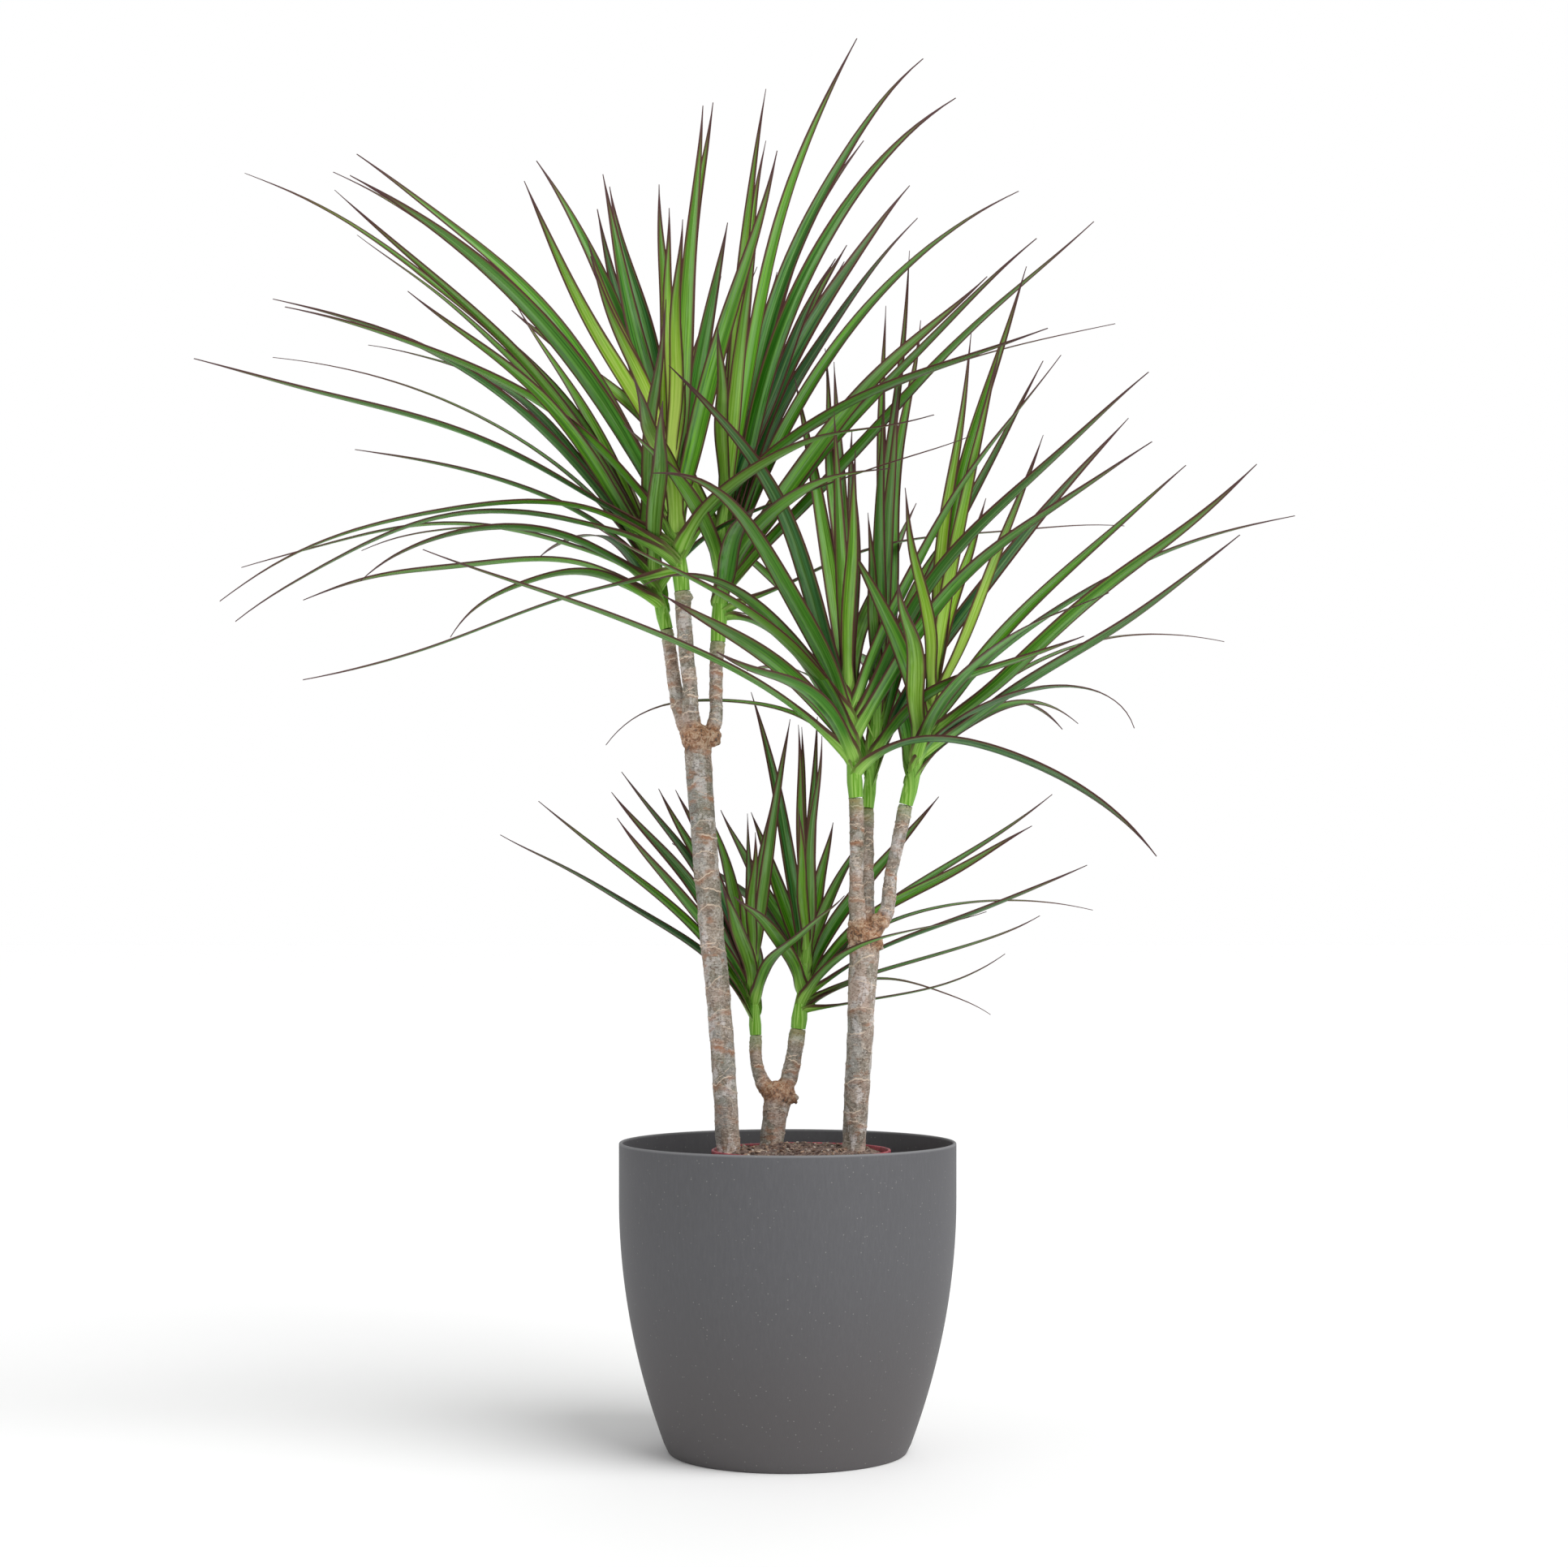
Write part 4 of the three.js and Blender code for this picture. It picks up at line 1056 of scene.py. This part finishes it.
def cover_finish():
    """Matt dark grey plastic, faintly streaked up and down, with pale specks, a little darker and browner
    below as painted shade, and a painted highlight round the rim.
    """
    finish, sheet = new_finish("grey_plastic")
    place = sheet.place()
    upright = sheet.stretched(place, (1, 1, 0.2))
    skin = sheet.mottle(upright, 420.0, (84, 84, 87), (86, 86, 89), (89, 89, 92))
    above = sheet.axes(place)["Z"]
    lower, rim_highlight = sheet.between(above, 0.2, 0.03), sheet.between(above, 0.2725, 0.2742)
    body = sheet.layered(
        skin["Color"],
        # painted shade: darker and a little browner towards the foot
        (lower, 0.7, (83, 79, 79)),
        (sheet.specks(place, 600.0, 0.02), 0.5, (150, 148, 144)),
        # a painted highlight in a thin band round the rim
        (rim_highlight, 0.4, (150, 150, 152)),
    )
    rough = sheet.maths("MULTIPLY_ADD", skin["Height"], 0.15, 0.5)
    grain = sheet.noise(upright, 1600.0, 2.0)
    surface(sheet, body, rough, grain, 0.0003, 0.3, Specular_IOR_Level=0.35)
    return finish


def nursery_finish():
    """Dull red plastic with dust and soil stains."""
    finish, sheet = new_finish("red_plastic")
    place = sheet.place()
    skin = sheet.mottle(place, 90.0, (132, 40, 52), (164, 54, 68), (186, 92, 100))
    body = sheet.layered(skin["Color"], (sheet.specks(place, 500.0, 0.25), 0.5, (92, 74, 62)))
    rough = sheet.maths("MULTIPLY_ADD", skin["Height"], 0.25, 0.35)
    surface(sheet, body, rough, skin["Height"], 0.0004, 0.3)
    return finish


def peat_finish():
    """Crumbs of peat and bark, from near black to tan, each chip with its own tint."""
    finish, sheet = new_finish("peat_and_bark")
    place = sheet.place()
    tint = sheet.channels(sheet.attribute("crumb_tint"))
    crumbs = sheet.mottle(place, 240.0, (62, 48, 44), (110, 90, 82), (158, 136, 122))
    shades = [(86, 64, 56), (136, 108, 92), (178, 148, 124), (204, 194, 182)]
    chip = sheet.ramp(tint["Red"], *zip((0.0, 0.35, 0.7, 0.9), shades))
    dents = sheet.between(sheet.noise(place, 420.0, 4.0), 0.6, 0.35)
    chip = sheet.layered(chip, (dents, 0.55, (64, 46, 38)))
    body = sheet.layered(
        crumbs["Color"],
        (tint["Green"], 1, chip),
        (sheet.specks(place, 650.0, 0.12), 0.6, (170, 156, 142)),
    )
    surface(sheet, body, 0.9, crumbs["Height"], 0.0025, 0.8)
    return finish


def floor_finish():
    finish, sheet = new_finish("studio_floor")
    surface(sheet, sheet.blend(sheet.noise(sheet.place(), 3.0), (249, 249, 249), (251, 251, 251)), 0.8)
    return finish


# -------- the studio


SUN = {"place": (2.5, -2.2, 3.2), "direction": (-0.68, 0.58, -0.9), "energy": 2.4, "spread": 50}

# An area lamp's place and size, in metres, and its power. Each is aimed at the middle of the plant.
LAMPS = {"fill_light": ((-2.2, -2.0, 1.4), 1.8, 5), "back_light": ((0.6, 2.4, 2.6), 1.8, 8)}
LAMP_AIM = (0, 0, 0.6)
ROOM_STRENGTH = 0.55  # of the white room that lights the plant
FLOOR_SIZE = 120


def make_floor():
    deselect()
    bpy.ops.mesh.primitive_plane_add(size=FLOOR_SIZE, location=(0, 0, 0))
    floor = bpy.context.object
    floor.name = "studio_floor_plane"
    floor.data.materials.append(floor_finish())


def make_room():
    """A white room, and white paper where the camera looks past the floor."""
    world = bpy.data.worlds.new("studio_world")
    bpy.context.scene.world = world
    world.use_nodes = True
    sky = cleared(world.node_tree)
    seen = sky.add("ShaderNodeLightPath").outputs["Is Camera Ray"]
    room = sky.add("ShaderNodeBackground", {"Color": (1, 1, 1, 1), "Strength": ROOM_STRENGTH})
    paper = sky.add("ShaderNodeBackground", {"Color": (1, 1, 1, 1), "Strength": 1.0})
    both = sky.add("ShaderNodeMixShader", {0: seen, 1: room.outputs[0], 2: paper.outputs[0]})
    sky.add("ShaderNodeOutputWorld", {"Surface": both.outputs[0]})


def make_lamp(name, kind, place, direction, power):
    bpy.ops.object.light_add(type=kind, location=place)
    lamp = bpy.context.object
    lamp.name = name
    lamp.data.energy = power
    lamp.rotation_euler = direction.to_track_quat("-Z", "Y").to_euler()
    return lamp


def make_camera():
    place = (camera_x(), -CAMERA["distance"] * MM, CAMERA["height"] * MM)
    bpy.ops.object.camera_add(location=place)
    camera = bpy.context.object
    camera.name = "photo_camera"
    camera.rotation_euler = (math.radians(90), 0, 0)
    camera.data.sensor_width = CAMERA["sensor"]
    camera.data.lens = CAMERA["sensor"] * PHOTO["focal"] / PHOTO["side"]
    camera.data.shift_y = (PHOTO["horizon_row"] - PHOTO["side"] / 2) / PHOTO["side"]
    bpy.context.scene.camera = camera


def make_studio():
    make_floor()
    make_room()
    sun = make_lamp("soft_key", "SUN", SUN["place"], Vector(SUN["direction"]), SUN["energy"])
    sun.data.angle = math.radians(SUN["spread"])
    for name, (place, size, power) in LAMPS.items():
        lamp = make_lamp(name, "AREA", place, Vector(LAMP_AIM) - Vector(place), power)
        lamp.data.size = size
    make_camera()
    bpy.context.scene.view_settings.view_transform = "Standard"


def camera_x():
    """The camera looks straight ahead, a little beside the pot's axis."""
    off = PHOTO["side"] / 2 - PHOTO["axis_column"]
    return off * CAMERA["distance"] * MM / PHOTO["focal"]


# -------- bark chips


# Sizes in millimetres. A grain is a small pale round chip.
CHIPS = {"count": 419, "size": (1.2, 4.2), "from_wall": 4, "from_cane": 1.5}
GRAINS = {"share": 0.12, "largest": 1.6}


def make_chip():
    """A crumb of bark: a small lump with uneven corners."""
    deselect()
    bpy.ops.mesh.primitive_ico_sphere_add(subdivisions=1, radius=1)
    chip = bpy.context.object
    rough = random.Random(3)
    for v in chip.data.vertices:
        v.co *= rough.uniform(0.7, 1.1)
    return chip


def mark_crumbs(piece, tint, chip):
    marks = piece.data.attributes.new("crumb_tint", "FLOAT_COLOR", "POINT")
    marks.data.foreach_set("color", [tint, chip, 0, 1] * len(piece.data.vertices))


def scatter_chips(soil):
    """Lays bark chips and a few pale grains on the peat, clear of the canes, and joins them to it."""
    draw = random.Random(41)
    chip = make_chip()
    canes = [(spec["trunk"][1][:2], spec["trunk"][1][3]) for spec in CANES.values()]
    mark_crumbs(soil, 0.0, 0.0)
    chips = []
    while len(chips) < CHIPS["count"]:
        turn, reach = draw.uniform(0, math.tau), (soil_edge() - CHIPS["from_wall"]) * math.sqrt(draw.random())
        x, y = reach * math.cos(turn), reach * math.sin(turn)
        size = draw.uniform(*CHIPS["size"]) * draw.uniform(0.7, 1)
        here = Vector((NURSERY["x"] + x, NURSERY["y"] + y, mound_height(x, y)))
        room = size + CHIPS["from_cane"]
        if any((here.xy - Vector(middle)).length < radius + room for middle, radius in canes):
            continue
        grain = draw.random() < GRAINS["share"]
        shape = (1, 1, 0.8) if grain else (1, draw.uniform(0.4, 0.8), draw.uniform(0.25, 0.5))
        if grain:
            size = min(size, GRAINS["largest"])
        copy = copied(chip)
        copy.scale = Vector(shape) * size * MM
        copy.rotation_euler = (draw.uniform(-0.5, 0.5), draw.uniform(-0.5, 0.5), draw.uniform(0, math.tau))
        copy.location = (here + Vector((0, 0, 0.2 * size))) * MM
        mark_crumbs(copy, 1.0 if grain else draw.uniform(0, 0.8), 1.0)
        chips.append(copy)
    bpy.data.objects.remove(chip)
    for each in chips:
        pick(each)
        bpy.ops.object.transform_apply(location=True, rotation=True, scale=True)
    return joined("peat_and_bark", [soil, *chips])


# -------- putting it together


def make_guide():
    """The curve that bends each blade in turn."""
    deselect()
    bpy.ops.curve.primitive_bezier_curve_add(location=(0, 0, 0))
    guide = bpy.context.object
    guide.data.twist_mode = "Z_UP"
    guide.data.use_path = True
    guide.data.resolution_u = 24
    for point in guide.data.splines[0].bezier_points:
        point.handle_left_type = point.handle_right_type = "FREE"
    return guide


def finish_piece(piece, node, finish):
    piece.data.materials.clear()
    piece.data.materials.append(finish)
    stand_for(piece, node)


make_studio()
mottle, specks = make_mottle(), make_specks()

cover_pot = make_cover_pot()
smooth_by_angle(cover_pot, 30)
finish_piece(cover_pot, "cover_pot", cover_finish())

nursery_pot = make_nursery_pot()
smooth_by_angle(nursery_pot, 30)
finish_piece(nursery_pot, "nursery_pot", nursery_finish())

peat = scatter_chips(make_soil())
smooth_by_angle(peat, 40)
finish_piece(peat, "soil", peat_finish())

bark = bark_finish()
for order, (node, spec) in enumerate(CANES.items()):
    finish_piece(make_cane(node.replace("cane", "bark"), spec, seed=7 + order), node, bark)

leaf = leaf_finish()
guide = make_guide()
blade = make_blade()
for node, spec in HEADS.items():
    finish_piece(make_head(node, spec, blade, guide), node, leaf)
for helper in (guide, blade):
    bpy.data.objects.remove(helper)
